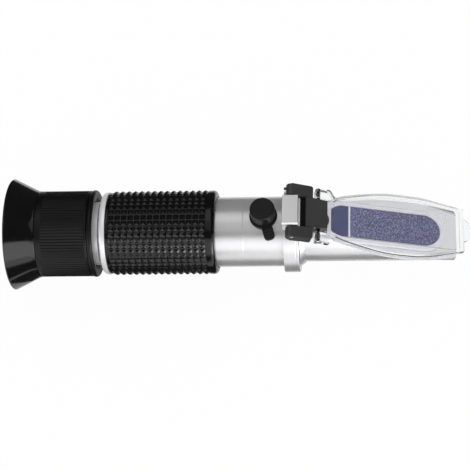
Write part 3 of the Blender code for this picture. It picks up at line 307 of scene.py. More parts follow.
class RefractometerCover(bpy.types.PropertyGroup):
    height: length("Height", "Height of the cover's top over the prism face", 0.00225)
    plate: length("Plate", "Thickness of the plate", 0.00135)
    wall: length("Wall", "Thickness of the skirt", 0.0010)
    skirt_depth: length("Skirt depth", "Depth of the skirt under the plate", 0.00185)
    overhang: length("Overhang", "How far the cover reaches past the housing", 0.0029)
    flare_length: length("Flare length", "Length of the plate's wide root", 0.00085)
    pad_width: length("Pad width", "Width of the pad over the prism", 0.0137)
    pad_depth: length("Pad depth", "Depth of the pad under the plate", 0.0003)
    pad_end: length("Pad end", "From the pad's end to the cover's end", 0.0030)
    ear_inner: length("Ear inner side", "From the middle to an ear's inner side", 0.00665)
    ear_outer: length("Ear outer side", "From the middle to an ear's outer side", 0.0099)
    ear_shift: length("Ear shift", "How far both ears sit to the near side", 0.0003)
    ear_rear: length("Ear rear", "From the pin's axis to an ear's rear", 0.0011)
    ear_top: length("Ear top", "Height of an ear over the pin's axis", 0.00105)
    ear_bottom: length("Ear bottom", "Depth of an ear under the pin's axis", 0.0024)
    ear_rounding: length("Ear rounding", "Rounding of an ear's rear edges", 0.0006)
    rounding: length("Rounding", "Rounding of the cover's edges", 0.0002)
    tab_length: length("Tab length", "Length of the thumb tab", 0.0027)
    tab_width: length("Tab width", "Width of the thumb tab", 0.0086)
    tab_thickness: length("Tab thickness", "Thickness of the thumb tab", 0.0009)
    skirt_fade: share("Skirt fade", "How much of the skirt's depth is gone at its two ends", 0.85)
    fade_start: share("Fade start", "Where the skirt starts to fade to its front end", 0.6)


class RefractometerColours(bpy.types.PropertyGroup):
    gloss_black: colour("Gloss black", "Eyecup rubber", (0.0035, 0.0035, 0.0035))
    matt_black: colour("Matt black", "Focusing ring and other black plastic", (0.004, 0.004, 0.004))
    bracket_black: colour("Bracket black", "Hinge bracket plastic", (0.036, 0.036, 0.036))
    grip_black: colour("Grip black", "Studded grip rubber", (0.003, 0.003, 0.003))
    cap_black: colour("Cap black", "Calibration cap rubber", (0.005, 0.005, 0.005))
    inner_black: colour("Inner black", "Anodised inner parts", (0.02, 0.02, 0.02))
    aluminium: colour("Aluminium", "Satin anodised aluminium", (0.78, 0.78, 0.79))
    steel: colour("Steel", "Pins and screws", (0.62, 0.62, 0.63))
    brass: colour("Brass", "Bush and strip", (0.72, 0.55, 0.28))
    prism_blue: colour("Prism blue", "Polished end of the prism face", (0.030, 0.038, 0.160))
    ground_blue: colour("Ground blue", "Ground part of the prism face", (0.125, 0.128, 0.255))
    seal_lilac: colour("Seal", "Pale sealing compound round the prism", (0.90, 0.90, 0.98))


class RefractometerStudio(bpy.types.PropertyGroup):
    world_level: share("World level", "Brightness of the room on matt surfaces", 0.8)
    floor_share: share("Floor share", "How much of the floor's white ignores the shadow", 0.96)
    mirrored_share: share("Mirrored share", "The same for the floor that metal mirrors", 0.15)
    flag_level: share("Flag level", "Brightness of the dark flags", 0.04)
    glint_level: level("Glint level", "Radiance of the small card that the studs mirror", 6.0)
    flag_setback: length("Flag setback", "From the instrument's axis back to the flags' foot", 0.06)
    flag_reach: length("Flag reach", "From the instrument out to the flags", 2.0)
    card_lift: length("Card lift", "From the instrument's lowest point up to the cards", 0.001)
    card_thickness: length("Card thickness", "Thickness of the cards", 0.0002)
    floor_gap: length("Floor gap", "Air under the instrument", 0.0002)
    floor_size: length("Floor size", "Side of the square floor", 12.0)
    floor_white: share("Floor white", "How much light the floor sends back", 0.92)
    lens: bpy.props.FloatProperty(
        name="Lens", description="Focal length of the camera", default=123.37, min=1.0, unit="CAMERA"
    )
    front_level: level("Front level", "Radiance of the front softbox", 0.45)
    left_level: level("Left level", "Radiance of the left softbox", 1.0)
    overhead_level: level("Overhead level", "Radiance of the overhead softbox", 0.35)
    back_level: level("Back level", "Radiance of the back softbox", 0.3)


def settings(name):
    """The measures of a group, as the scene holds them."""
    return getattr(bpy.context.scene, "refractometer_" + name)


def deselect_all():
    bpy.ops.object.select_all(action="DESELECT")


def select(piece):
    """Makes a piece the active one and the only one that is selected."""
    deselect_all()
    bpy.context.view_layer.objects.active = piece
    piece.select_set(True)


def start_piece(name):
    """Takes the primitive that was just added, names it and puts its place into its mesh."""
    made = bpy.context.active_object
    made.name = name
    made.data.name = name
    bpy.ops.object.transform_apply(location=True, rotation=True, scale=True)
    return made


def edit(piece):
    select(piece)
    bpy.ops.object.mode_set(mode="EDIT")


def leave_edit():
    bpy.ops.object.mode_set(mode="OBJECT")


def pick(kind, test):
    """Selects, in edit mode, the verts, edges or faces that pass the test, and nothing else."""
    modes = {"verts": "VERT", "edges": "EDGE", "faces": "FACE"}
    bpy.ops.mesh.select_mode(type=modes[kind])
    bpy.ops.mesh.select_all(action="DESELECT")
    mesh = bmesh.from_edit_mesh(bpy.context.edit_object.data)
    for item in getattr(mesh, kind):
        if test(item):
            item.select_set(True)
    mesh.select_flush_mode()
    bmesh.update_edit_mesh(bpy.context.edit_object.data)


def pick_all():
    bpy.ops.mesh.select_all(action="SELECT")


def shift(x, y, z):
    """Moves what is selected in edit mode."""
    bpy.ops.transform.translate(value=(x, y, z))


def resize(factors, centre=(0, 0, 0)):
    """Scales what is selected in edit mode, from a centre."""
    bpy.ops.transform.resize(value=factors, center_override=centre)


def extrude(x, y, z):
    """Draws what is selected in edit mode out by a distance along each axis."""
    bpy.ops.mesh.extrude_region_move(TRANSFORM_OT_translate={"value": (x, y, z)})


def turn_outward():
    """Lets every face of the mesh in edit mode face outward."""
    pick_all()
    bpy.ops.mesh.normals_make_consistent(inside=False)


def middle(item):
    """The centre of a face or an edge."""
    corners = [vert.co for vert in item.verts]
    return sum(corners, Vector()) / len(corners)


def reach_of(edge, axis):
    """How far an edge reaches along an axis."""
    return abs(edge.verts[0].co[axis] - edge.verts[1].co[axis])


def modify(piece, name, kind, **values):
    """Adds a modifier with these values and applies it."""
    select(piece)
    made = piece.modifiers.new(name, kind)
    for key, value in values.items():
        setattr(made, key, value)
    bpy.ops.object.modifier_apply(modifier=made.name)
    return piece


def soften(piece, width, segments=2, angle=SMOOTH_ANGLE):
    """Breaks the sharp edges of a finished shape."""
    return modify(
        piece,
        "soft_edges",
        "BEVEL",
        width=width,
        segments=segments,
        limit_method="ANGLE",
        angle_limit=angle,
        use_clamp_overlap=True,
        miter_outer="MITER_ARC",
    )


def smooth(piece, angle=SMOOTH_ANGLE):
    select(piece)
    bpy.ops.object.shade_smooth_by_angle(angle=angle)
    return piece


def dress(piece, node, angle=SMOOTH_ANGLE, finish=None):
    """Finishes a piece and lets it ride with a node of the frame."""
    slot = slot_of_node[node]
    smooth(piece, angle)
    modify(piece, "even_shading", "WEIGHTED_NORMAL", keep_sharp=True)
    piece.data.materials.clear()
    piece.data.materials.append(finishes[finish or slot])
    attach(piece, body_of_node[node])
    return piece


def put(piece, node, angle=SMOOTH_ANGLE, finish=None):
    """Finishes a piece and lets it stand for a node of the frame, on that node's body."""
    dress(piece, node, angle, finish)
    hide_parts(node)
    return piece


def turned_size(node):
    """The first and last station of a turned node, and its smallest and largest radius."""
    points = [vert.co for vert in frame["nodes"][node].data.vertices]
    stations = [point.x for point in points]
    radii = [math.hypot(point.y, point.z) for point in points]
    return min(stations), max(stations), min(radii), max(radii)


def turned(name, profile, segments=ROUND):
    """Runs a circle along a closed section of (station, radius) points and joins its two ends."""
    deselect_all()
    station, radius = profile[0]
    bpy.ops.mesh.primitive_circle_add(
        vertices=segments, radius=radius, location=(station, 0, 0), rotation=(0, math.pi / 2, 0)
    )
    made = start_piece(name)
    edit(made)
    bpy.ops.mesh.select_mode(type="VERT")
    pick_all()
    for (x0, r0), (x1, r1) in zip(profile, profile[1:] + profile[:1]):
        extrude(x1 - x0, 0, 0)
        if r1 != r0:
            grown = r1 / r0
            resize((1, grown, grown), (x1, 0, 0))
    pick_all()
    bpy.ops.mesh.remove_doubles(threshold=MERGE)
    turn_outward()
    leave_edit()
    return made


def rod(name, radius, start, end, segments=BAR_ROUND):
    """A round bar from one point to another."""
    start, end = Vector(start), Vector(end)
    run = end - start
    deselect_all()
    bpy.ops.mesh.primitive_cylinder_add(
        vertices=segments,
        radius=radius,
        depth=run.length,
        location=(start + end) / 2,
        rotation=run.to_track_quat("Z", "Y").to_euler(),
    )
    return start_piece(name)


def block(name, low, high):
    """A box between two corners."""
    low, high = Vector(low), Vector(high)
    deselect_all()
    bpy.ops.mesh.primitive_cube_add(size=1, location=(low + high) / 2, scale=high - low)
    return start_piece(name)


def lattice(name, columns, rows):
    """A flat grid whose lines stand at these columns along X and these rows along Y."""
    away = 4.0
    deselect_all()
    bpy.ops.mesh.primitive_grid_add(
        x_subdivisions=len(columns) - 1, y_subdivisions=len(rows) - 1, size=2, location=(away, away, 0)
    )
    made = start_piece(name)
    edit(made)
    for axis, places in ((0, columns), (1, rows)):
        last = len(places) - 1
        for i, place in enumerate(places):
            line = away - 1 + 2 * i / last
            pick("verts", lambda vert: abs(vert.co[axis] - line) < 0.5 / last)
            flat = Vector((1, 1, 1))
            flat[axis] = 0
            centre = Vector((0, 0, 0))
            centre[axis] = place
            resize(flat, centre)
    leave_edit()
    return made


def combine(piece, other, operation="DIFFERENCE"):
    """Cuts a piece with another, or joins them into one skin; the other is used up."""
    modify(piece, "shape", "BOOLEAN", object=other, operation=operation, solver="EXACT")
    mesh = other.data
    bpy.data.objects.remove(other)
    bpy.data.meshes.remove(mesh)
    return piece


def joined(piece, *others):
    """Puts separate shells into one piece."""
    select(piece)
    for other in others:
        other.select_set(True)
    bpy.ops.object.join()
    return piece


def turn_and_move(piece, place, turn):
    """Brings a piece that was modelled at the origin to its place, and leaves it unturned."""
    select(piece)
    piece.rotation_euler = turn
    piece.location = place
    bpy.ops.object.transform_apply(location=True, rotation=True, scale=True)
    return piece


def face_frame():
    """Where the bracket's and the cover's pins are, and how the prism face slopes."""
    hinge = Vector(joint_places["bracket_hinge"])
    pin = Vector(joint_places["cover_tilt"])
    return hinge, pin, math.atan2(hinge.z - pin.z, pin.x - hinge.x)


def leaf_share(along, column):
    """A smooth curve through a column of the leaf's half widths, at a share of its length."""
    table = [(row[0], row[column]) for row in LEAF_SHARES]
    last = len(table) - 1
    i = max(k for k in range(last) if table[k][0] <= along or k == 0)
    (x0, y0), (x1, y1) = table[i], table[i + 1]
    before = table[max(i - 1, 0)]
    after = table[min(i + 2, last)]
    slope_in = (y1 - before[1]) / (x1 - before[0])
    slope_out = (after[1] - y0) / (after[0] - x0)
    span = x1 - x0
    t = (along - x0) / span
    return (
        (2 * t**3 - 3 * t**2 + 1) * y0
        + (t**3 - 2 * t**2 + t) * span * slope_in
        + (3 * t**2 - 2 * t**3) * y1
        + (t**3 - t**2) * span * slope_out
    )


def angle_index(vert, segments):
    """Which of the segments round the axis a point stands on, counted from the top."""
    return round(math.atan2(vert.co.y, vert.co.z) / math.tau * segments) % segments


def new_paint(name):
    """A new material and its nodes."""
    made = bpy.data.materials.new(name)
    made.use_nodes = True
    return made, made.node_tree


def shader_nodes(name, base, roughness, metallic=0.0, specular=0.5):
    """A new finish with its Principled shader."""
    finishes[name], tree = new_paint(name)
    shader = tree.nodes["Principled BSDF"]
    shader.inputs["Specular IOR Level"].default_value = specular
    shader.inputs["Base Color"].default_value = (*base, 1.0)
    shader.inputs["Roughness"].default_value = roughness
    shader.inputs["Metallic"].default_value = metallic
    return tree, shader


def show(tree, output):
    """Lets the surface show what a shader gives."""
    tree.links.new(output, tree.nodes["Material Output"].inputs["Surface"])


def new_node(tree, kind, **values):
    """A new node; each value goes to the input of its name, or else to the node's own setting."""
    made = tree.nodes.new(kind)
    for key, value in values.items():
        if key in made.inputs:
            made.inputs[key].default_value = value
        else:
            setattr(made, key, value)
    return made


def feed(tree, source, socket):
    """Gives an input the output of another node, or a number or colour of its own."""
    if isinstance(source, bpy.types.NodeSocket):
        tree.links.new(source, socket)
    else:
        socket.default_value = source


def worked_out(tree, operation, first, second):
    """The product or the larger of two values."""
    made = new_node(tree, "ShaderNodeMath", operation=operation)
    feed(tree, first, made.inputs[0])
    feed(tree, second, made.inputs[1])
    return made.outputs[0]


def blend(tree, factor, first, second, kind="RGBA"):
    """Runs from the first to the second, two colours or two values, with a factor."""
    made = new_node(tree, "ShaderNodeMix", data_type=kind)
    feed(tree, factor, made.inputs["Factor"])
    feed(tree, first, made.inputs["A"])
    feed(tree, second, made.inputs["B"])
    return made.outputs["Result"]


def grain(tree, scale, detail=3.0, stretch=(1.0, 1.0, 1.0)):
    """Noise that sits still on the piece, stretched along its axes."""
    place = new_node(tree, "ShaderNodeTexCoord")
    mapping = new_node(tree, "ShaderNodeMapping", Scale=stretch)
    noise = new_node(tree, "ShaderNodeTexNoise", Scale=scale, Detail=detail)
    tree.links.new(place.outputs["Object"], mapping.inputs["Vector"])
    tree.links.new(mapping.outputs["Vector"], noise.inputs["Vector"])
    return noise.outputs["Fac"]


def spread(tree, value, low, high, from_low=0.3, from_high=0.7):
    """Maps a value from one range to another, by default from the range of noise."""
    ends = {"From Min": from_low, "From Max": from_high, "To Min": low, "To Max": high}
    ranged = new_node(tree, "ShaderNodeMapRange", **ends)
    feed(tree, value, ranged.inputs["Value"])
    return ranged.outputs["Result"]


def scaled(base, factor):
    return tuple(min(channel * factor, 1.0) for channel in base)


def opaque(base, factor=1.0):
    return (*scaled(base, factor), 1.0)


def tint(tree, shader, value, base, dark, light):
    """Lets the base colour run with a value, from a darker to a lighter multiple of itself."""
    feed(tree, blend(tree, value, opaque(base, dark), opaque(base, light)), shader.inputs["Base Color"])


def gloss(tree, shader, value, roughness, low, high):
    """Lets the roughness run with a value, from a lower to a higher multiple of itself."""
    feed(tree, spread(tree, value, roughness * low, roughness * high), shader.inputs["Roughness"])


def relief(tree, shader, value, strength, depth):
    """Raises the surface with a value."""
    bump = new_node(tree, "ShaderNodeBump", Strength=strength, Distance=depth)
    feed(tree, value, bump.inputs["Height"])
    feed(tree, bump.outputs["Normal"], shader.inputs["Normal"])


def make_moulded_finish(name, base, roughness, grain_scale, grain_depth, specular):
    """Moulded rubber or plastic: fine grain, uneven gloss and a little dust in its colour."""
    tree, shader = shader_nodes(name, base, roughness, 0.0, specular)
    fine = grain(tree, grain_scale, detail=4.0)
    patches = grain(tree, 160.0, detail=2.0)
    tint(tree, shader, patches, base, dark=0.8, light=1.3)
    gloss(tree, shader, patches, roughness, low=0.85, high=1.2)
    relief(tree, shader, fine, strength=0.6, depth=grain_depth)


def make_metal_finish(name, base, roughness, lines, depth, metallic):
    """Turned metal: fine rings left by the tool round the axis, and uneven satin."""
    tree, shader = shader_nodes(name, base, roughness, metallic)
    rings = grain(tree, lines, detail=3.0, stretch=(1.0, 0.03, 0.03))
    cloud = grain(tree, 90.0, detail=2.0, stretch=(1.0, 0.4, 0.4))
    tint(tree, shader, rings, base, dark=0.95, light=1.05)
    gloss(tree, shader, cloud, roughness, low=0.9, high=1.1)
    relief(tree, shader, rings, strength=0.35, depth=depth)


def make_prism_finish(colours, sizes):
    """The prism face: polished at its rear end, a pale line across, and fine-ground beyond it."""
    tree, shader = shader_nodes("blue_prism_glass", colours.prism_blue, roughness=0.3)
    place = new_node(tree, "ShaderNodeTexCoord")
    split = new_node(tree, "ShaderNodeSeparateXYZ")
    tree.links.new(place.outputs["Object"], split.inputs["Vector"])
    along = split.outputs["X"]
    line_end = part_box("prism")[0].x + sizes.line_station
    line_start = line_end - sizes.line_width
    before = spread(tree, along, 0.0, 1.0, line_start, line_start + sizes.line_blur)
    beyond = spread(tree, along, 0.0, 1.0, line_end, line_end + sizes.line_blur)
    line = blend(tree, before, opaque(colours.prism_blue), opaque(colours.seal_lilac))
    speckle = grain(tree, 2000.0, detail=1.0)
    speckled = spread(tree, speckle, 0.0, 1.0, 0.42, 0.66)
    ground = blend(tree, speckled, opaque(colours.ground_blue, 0.45), opaque(colours.ground_blue, 2.1))
    feed(tree, blend(tree, beyond, line, ground), shader.inputs["Base Color"])
    feed(tree, spread(tree, beyond, 0.18, 0.5, 0.0, 1.0), shader.inputs["Roughness"])
    rough = worked_out(tree, "MULTIPLY", speckle, beyond)
    relief(tree, shader, rough, strength=0.5, depth=0.00004)


def make_clear_finish(name, base, roughness, ior, waviness):
    """Clear glass or plastic, with the slight waves that moulding or polishing leaves."""
    tree, shader = shader_nodes(name, base, roughness)
    shader.inputs["Transmission Weight"].default_value = 1.0
    shader.inputs["IOR"].default_value = ior
    relief(tree, shader, grain(tree, 220.0, detail=1.0), waviness, depth=0.00002)


def make_sealant_finish(colours):
    """A bead of pale compound, smoothed by hand."""
    tree, shader = shader_nodes("prism_sealant", colours.seal_lilac, roughness=0.4)
    waves = grain(tree, 420.0, detail=2.0)
    tint(tree, shader, waves, colours.seal_lilac, dark=0.93, light=1.07)
    relief(tree, shader, waves, strength=0.4, depth=0.00012)


class REFRACTOMETER_OT_finishes(bpy.types.Operator):
    """Make every finish, and give the inner parts theirs"""

    bl_idname = "refractometer.finishes"
    bl_label = "Finishes"

    def execute(self, context):
        colours = settings("colours")
        for name, base, roughness, grain_scale, grain_depth, specular in (
            ("gloss_rubber", colours.gloss_black, 0.12, 1500.0, 0.000004, 0.7),
            ("matt_black", colours.matt_black, 0.36, 5200.0, 0.00002, 0.3),
            ("bracket_plastic", colours.bracket_black, 0.38, 5200.0, 0.00002, 0.5),
            ("grip_rubber", colours.grip_black, 0.15, 4200.0, 0.000002, 0.5),
            ("cap_rubber", colours.cap_black, 0.42, 3800.0, 0.00002, 0.35),
        ):
            make_moulded_finish(name, base, roughness, grain_scale, grain_depth, specular)
        matt_base = scaled(colours.aluminium, 1.2)
        for name, base, roughness, lines, depth, metallic in (
            ("anodised_black", colours.inner_black, 0.5, 4000.0, 0.00001, 1.0),
            ("satin_aluminium", colours.aluminium, 0.3, 2600.0, 0.000012, 0.7),
            ("matt_aluminium", matt_base, 0.36, 2600.0, 0.000012, 0.4),
            ("steel", colours.steel, 0.24, 5000.0, 0.000006, 1.0),
            ("brass", colours.brass, 0.33, 4000.0, 0.000008, 1.0),
        ):
            make_metal_finish(name, base, roughness, lines, depth, metallic)
        for name, base, roughness, ior, waviness in (
            ("optical_glass", (0.95, 0.97, 0.96), 0.0, 1.52, 0.05),
            ("clear_acrylic", (0.97, 0.975, 0.98), 0.12, 1.49, 0.15),
        ):
            make_clear_finish(name, base, roughness, ior, waviness)
        make_sealant_finish(colours)
        make_prism_finish(colours, settings("prism"))
        for name, node in frame["nodes"].items():
            for holder in node.material_slots:
                holder.material = finishes[slot_of_node[name]]
        return {"FINISHED"}


class REFRACTOMETER_OT_eyecup(bpy.types.Operator):
    """Model the flared rubber eyecup"""

    bl_idname = "refractometer.eyecup"
    bl_label = "Eyecup"

    def execute(self, context):
        sizes = settings("eyepiece")
        start, end, bore, rim = turned_size("eyecup")
        ring = turned_size("focus_ring")
        sleeve = ring[3] - sizes.sleeve_wall
        foot = ring[3] - sizes.flare_foot
        floor = start + sizes.floor_setback
        socket = floor + sizes.floor_wall
        r = sizes.rim_rounding
        outer = []
        steps = 20
        bend = sizes.flare_bend
        knee = sizes.flare_knee

        def hollow(left):
            """A ramp that flattens smoothly where nothing is left."""
            return (left + math.hypot(left, bend)) / 2

        for i in range(steps + 1):
            t = i / steps
            x = start + r + (end - start - r) * t
            fall = (hollow(knee) - hollow(knee - t)) / (hollow(knee) - hollow(knee - 1))
            outer.append((x, rim + (foot - rim) * fall))
        corner = r * 0.3
        profile = [(start, rim - sizes.rim_wall), (start, rim - r), (start + corner, rim - corner)]
        profile += outer
        profile += [
            (end, sleeve),
            (socket, sleeve),
            (socket, bore),
            (floor, bore),
            (floor - sizes.floor_bevel, bore + sizes.floor_bevel * 4 / 3),
        ]
        cup = turned("flared_eyecup", profile)
        soften(cup, r * 0.5, 3)
        put(cup, "eyecup")
        return {"FINISHED"}


class REFRACTOMETER_OT_focus_ring(bpy.types.Operator):
    """Model the focusing ring with its fine ribs"""

    bl_idname = "refractometer.focus_ring"
    bl_label = "Focusing ring"

    def execute(self, context):
        sizes = settings("eyepiece")
        start, end, bore, bead = turned_size("focus_ring")
        spigot_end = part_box("eyecup")[1].x + sizes.ring_joint
        outer = bead - sizes.bead_rise
        spigot = outer - sizes.spigot_drop
        first = spigot_end + sizes.knurl_start
        last = first + sizes.knurl_length
        groove = end - sizes.bead_length
        valley = outer - sizes.knurl_depth
        neck = turned_size("eyepiece_neck")[3] + GAP
        neck_end = end - sizes.neck_reach
        wide_bore = bore + sizes.cell_clearance
        bevel = sizes.shoulder_bevel
        slope = sizes.knurl_slope
        ledge = sizes.cup_ledge
        step = end - sizes.cup_depth * 0.3
        floor = end - sizes.cup_depth
        profile = [
            (start, spigot),
            (spigot_end, spigot),
            (spigot_end, outer - bevel),
            (spigot_end + bevel, outer),
            (first - slope, outer),
            (first, valley),
            (last, valley),
            (last + slope, outer),
            (groove - slope, outer),
            (groove, outer - slope),
            *self.bead_points(sizes, groove, end, bead),
            (step, neck + ledge),
            (step, neck + ledge * 0.6),
            (floor, neck + ledge * 0.35),
            (floor, neck),
            (neck_end, neck),
            (neck_end, wide_bore),
            (start, wide_bore),
        ]
        segments = 4 * sizes.knurl_ribs
        ring = turned("ribbed_focusing_ring", profile, segments)
        edit(ring)
        pick(
            "verts",
            lambda vert: first - MERGE < vert.co.x < last + MERGE
            and math.hypot(vert.co.y, vert.co.z) > valley - MERGE * 4
            and angle_index(vert, segments) % 4 in (1, 2),
        )
        grown = (outer - GAP / 10) / valley
        resize((1, grown, grown))
        leave_edit()
        put(ring, "focus_ring", math.radians(50))
        return {"FINISHED"}

    def bead_points(self, sizes, groove, end, bead):
        """The round bead at the ring's front, from its groove over the top to the cupped end."""
        points = []
        steps = 14
        width = (end - groove) / 2
        for i in range(steps + 1):
            angle = math.pi * i / steps
            x = groove + width - width * math.cos(angle)
            points.append((x, bead - sizes.bead_rounding * (1 - math.sin(angle) ** sizes.bead_fullness)))
        return points


class REFRACTOMETER_OT_lenses(bpy.types.Operator):
    """Model the two eyepiece lenses with their curved faces"""

    bl_idname = "refractometer.lenses"
    bl_label = "Eyepiece lenses"

    def execute(self, context):
        sag_share = settings("eyepiece").lens_sag
        steps = 12
        for node in ("eye_lens", "field_lens"):
            start, end, _, radius = turned_size(node)
            sag = (end - start) * sag_share
            rear = []
            for i in range(steps + 1):
                part = max(i / steps, AXIS / radius)
                rear.append((start + sag * part**2, radius * part))
            front = [(start + end - x, r) for x, r in reversed(rear)]
            put(turned("polished_" + node, rear + front, GLASS_ROUND), node, math.radians(40))
        return {"FINISHED"}


class REFRACTOMETER_OT_barrel(bpy.types.Operator):
    """Model the neck, the grip's end ring and the main tube"""

    bl_idname = "refractometer.barrel"
    bl_label = "Barrel"

    def execute(self, context):
        sizes = settings("barrel")
        start, end, bore, radius = turned_size("eyepiece_neck")
        ring_start, ring_end, ring_bore, ring_radius = turned_size("grip_end_ring")
        tube_start, tube_end, tube_bore, tube_radius = turned_size("main_tube")
        tube_end -= settings("hinge").collar_shift
        spigot = tube_bore - GAP
        groove = ring_start - sizes.neck_groove
        neck = [
            (start, bore),
            (start, radius),
            (groove, radius),
            (groove, radius - sizes.neck_groove * 2),
            (ring_end, radius - sizes.neck_groove * 2),
            (ring_end, spigot),
            (end, spigot),
            (end, bore),
        ]
        neck_tube = soften(turned("turned_neck", neck), sizes.edge)
        put(neck_tube, "eyepiece_neck", finish="matt_aluminium")
        ring = [(ring_start, ring_bore)]
        steps = 14
        first, last = math.radians(-48), math.radians(16)
        for i in range(steps + 1):
            angle = first + (last - first) * i / steps
            along = (math.sin(angle) - math.sin(first)) / (math.sin(last) - math.sin(first))
            x = ring_start + (ring_end - ring_start) * along
            ring.append((x, ring_radius - sizes.ring_nose * (1 - math.cos(angle))))
        ring += [(ring_end, ring_bore)]
        end_ring = turned("rounded_end_ring", ring)
        put(end_ring, "grip_end_ring", math.radians(50), "matt_aluminium")
        seam = tube_end - sizes.seam_setback
        half = sizes.seam_width / 2
        tube = [
            (tube_start, tube_bore),
            (tube_start, tube_radius),
            (seam - half, tube_radius),
            (seam, tube_radius - sizes.seam_depth),
            (seam + half, tube_radius),
            (tube_end, tube_radius),
            (tube_end, tube_bore),
        ]
        shell = turned("satin_main_tube", tube)
        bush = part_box("screw_bush")
        station = (bush[0].x + bush[1].x) / 2
        hole = rod("bush_hole", sizes.bush_hole, (station, 0, 0), (station, 0, tube_radius * 2))
        put(combine(shell, hole), "main_tube")
        return {"FINISHED"}


class REFRACTOMETER_OT_grip(bpy.types.Operator):
    """Model the rubber grip with its lattice of pointed studs"""

    bl_idname = "refractometer.grip"
    bl_label = "Grip"

    def execute(self, context):
        sizes = settings("grip")
        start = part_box("grip_sleeve")[0].x
        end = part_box("grip_sleeve")[1].x
        bore = turned_size("grip_sleeve")[2]
        first = start + sizes.rear_band
        last = end - sizes.front_band
        valley = bore + sizes.rubber
        crown = valley + sizes.stud_height
        core = valley - sizes.stud_gap
        r = sizes.bead_rounding
        profile = [
            (start, bore),
            (start, valley),
            (first - sizes.stud_gap, valley),
            (first - sizes.stud_gap, core),
            (last + sizes.stud_gap, core),
            (last + sizes.stud_gap, valley + sizes.stud_height / 2),
        ]
        steps = 10
        bead = crown - sizes.bead_drop
        for i in range(steps + 1):
            angle = math.pi / 2 * i / steps
            profile.append((end - r + r * math.sin(angle), bead - r + r * math.cos(angle)))
        profile += [(end, bore)]
        sleeve = soften(turned("studded_grip", profile), sizes.stud_gap, 2, math.radians(60))
        studs = self.add_studs(sizes, first, last, valley)
        put(joined(sleeve, studs), "grip_sleeve")
        return {"FINISHED"}

    def add_studs(self, sizes, first, last, valley):
        """A band of square cells round the grip, each drawn up to a point."""
        rows = sizes.stud_rows
        pitch = (last - first) / rows
        inner = valley - sizes.rubber / 3
        profile = [(first, inner)]
        profile += [(first + i * pitch, valley) for i in range(rows + 1)]
        profile += [(last, inner)]
        studs = turned("grip_studs", profile, sizes.studs_round)
        edit(studs)
        floor = valley * math.cos(math.pi / sizes.studs_round) - MERGE
        pick("faces", lambda face: math.hypot(middle(face).y, middle(face).z) > floor - MERGE)
        bpy.ops.mesh.inset(thickness=sizes.stud_gap, use_individual=True)
        bpy.ops.mesh.poke(offset=sizes.stud_height)
        leave_edit()
        return soften(studs, sizes.stud_gap * 0.8, 2, math.radians(20))


class REFRACTOMETER_OT_screw_and_cap(bpy.types.Operator):
    """Model the calibration screw in its bush and the rubber cap that hides it"""

    bl_idname = "refractometer.screw_and_cap"
    bl_label = "Calibration screw and cap"

    def execute(self, context):
        sizes = settings("cap")
        tube = turned_size("main_tube")[3]
        bush_low, bush_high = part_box("screw_bush")
        low, top = bush_low.z, bush_high.z
        x = (bush_low.x + bush_high.x) / 2
        flange = (bush_high.x - bush_low.x) / 2
        screw_low, screw_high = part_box("calibration_screw")
        screw_radius = (screw_high.x - screw_low.x) / 2
        bush = rod("turned_bush", flange, (x, 0, tube + GAP / 2), (x, 0, top), CLOSE_ROUND)
        stem = rod("bush_stem", sizes.bush_stem, (x, 0, low), (x, 0, top), CLOSE_ROUND)
        bush = combine(bush, stem, "UNION")
        bush = combine(bush, rod("bush_bore", screw_radius + GAP, (x, 0, 0), (x, 0, top * 2), CLOSE_ROUND))
        put(soften(bush, sizes.edge / 2), "screw_bush")
        screw = rod("slotted_screw", screw_radius, (x, 0, screw_low.z), (x, 0, screw_high.z), CLOSE_ROUND)
        slot = block(
            "screw_slot",
            (x - screw_radius / 5, -flange, screw_high.z - screw_radius / 2),
            (x + screw_radius / 5, flange, screw_high.z * 2),
        )
        put(soften(combine(screw, slot), sizes.edge / 2), "calibration_screw")
        self.add_cap(sizes, x, tube, flange, screw_high.z)
        return {"FINISHED"}

    def add_cap(self, sizes, x, tube, flange, screw_top):
        """The cap, hollow over the bush and saddled on the tube, with its ribbed tab."""
        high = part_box("calibration_cap")[1].z
        foot = tube * sizes.root
        cap = rod("rubber_cap", sizes.drum_radius, (x, 0, foot), (x, 0, high), ROUND)
        soften(cap, sizes.top_rounding, 4)
        brim_top = tube + sizes.brim_height
        brim = rod("cap_brim", sizes.brim_radius, (x, 0, foot), (x, 0, brim_top), ROUND)
        cap = combine(cap, soften(brim, sizes.edge, 3), "UNION")
        half = sizes.tab_width / 2
        tab_top = sizes.tab_thickness / 2
        tip = sizes.drum_radius + sizes.tab_length
        tab = block("cap_tab", (0, -half, -tab_top), (tip, half, tab_top))
        edit(tab)
        pick("edges", lambda edge: middle(edge).x > tip - MERGE and reach_of(edge, 2) > MERGE)
        bpy.ops.mesh.bevel(offset=half * sizes.tab_corner, segments=6)
        leave_edit()
        soften(tab, sizes.edge, 3)
        ribs = []
        side = half * sizes.rib_reach
        for i in range(sizes.tab_ribs):
            along = tip - sizes.tab_length * (sizes.first_rib + sizes.rib_pitch * i)
            rib = rod("tab_rib", sizes.rib_radius, (along, -side, tab_top), (along, side, tab_top), 16)
            ribs.append(soften(rib, sizes.rib_radius / 2, 2))
        tab = joined(tab, *ribs)
        root = (x, 0, tube + sizes.tab_rise - tab_top)
        turn_and_move(tab, root, (0, sizes.tab_droop, sizes.tab_angle))
        saddle = rod("cap_saddle", tube + GAP / 3, (x - high, 0, 0), (x + high, 0, 0), ROUND)
        cap = combine(cap, saddle)
        bore = rod("cap_bore", flange + GAP, (x, 0, 0), (x, 0, screw_top + GAP), CLOSE_ROUND)
        cap = combine(cap, bore)
        put(joined(cap, tab), "calibration_cap")


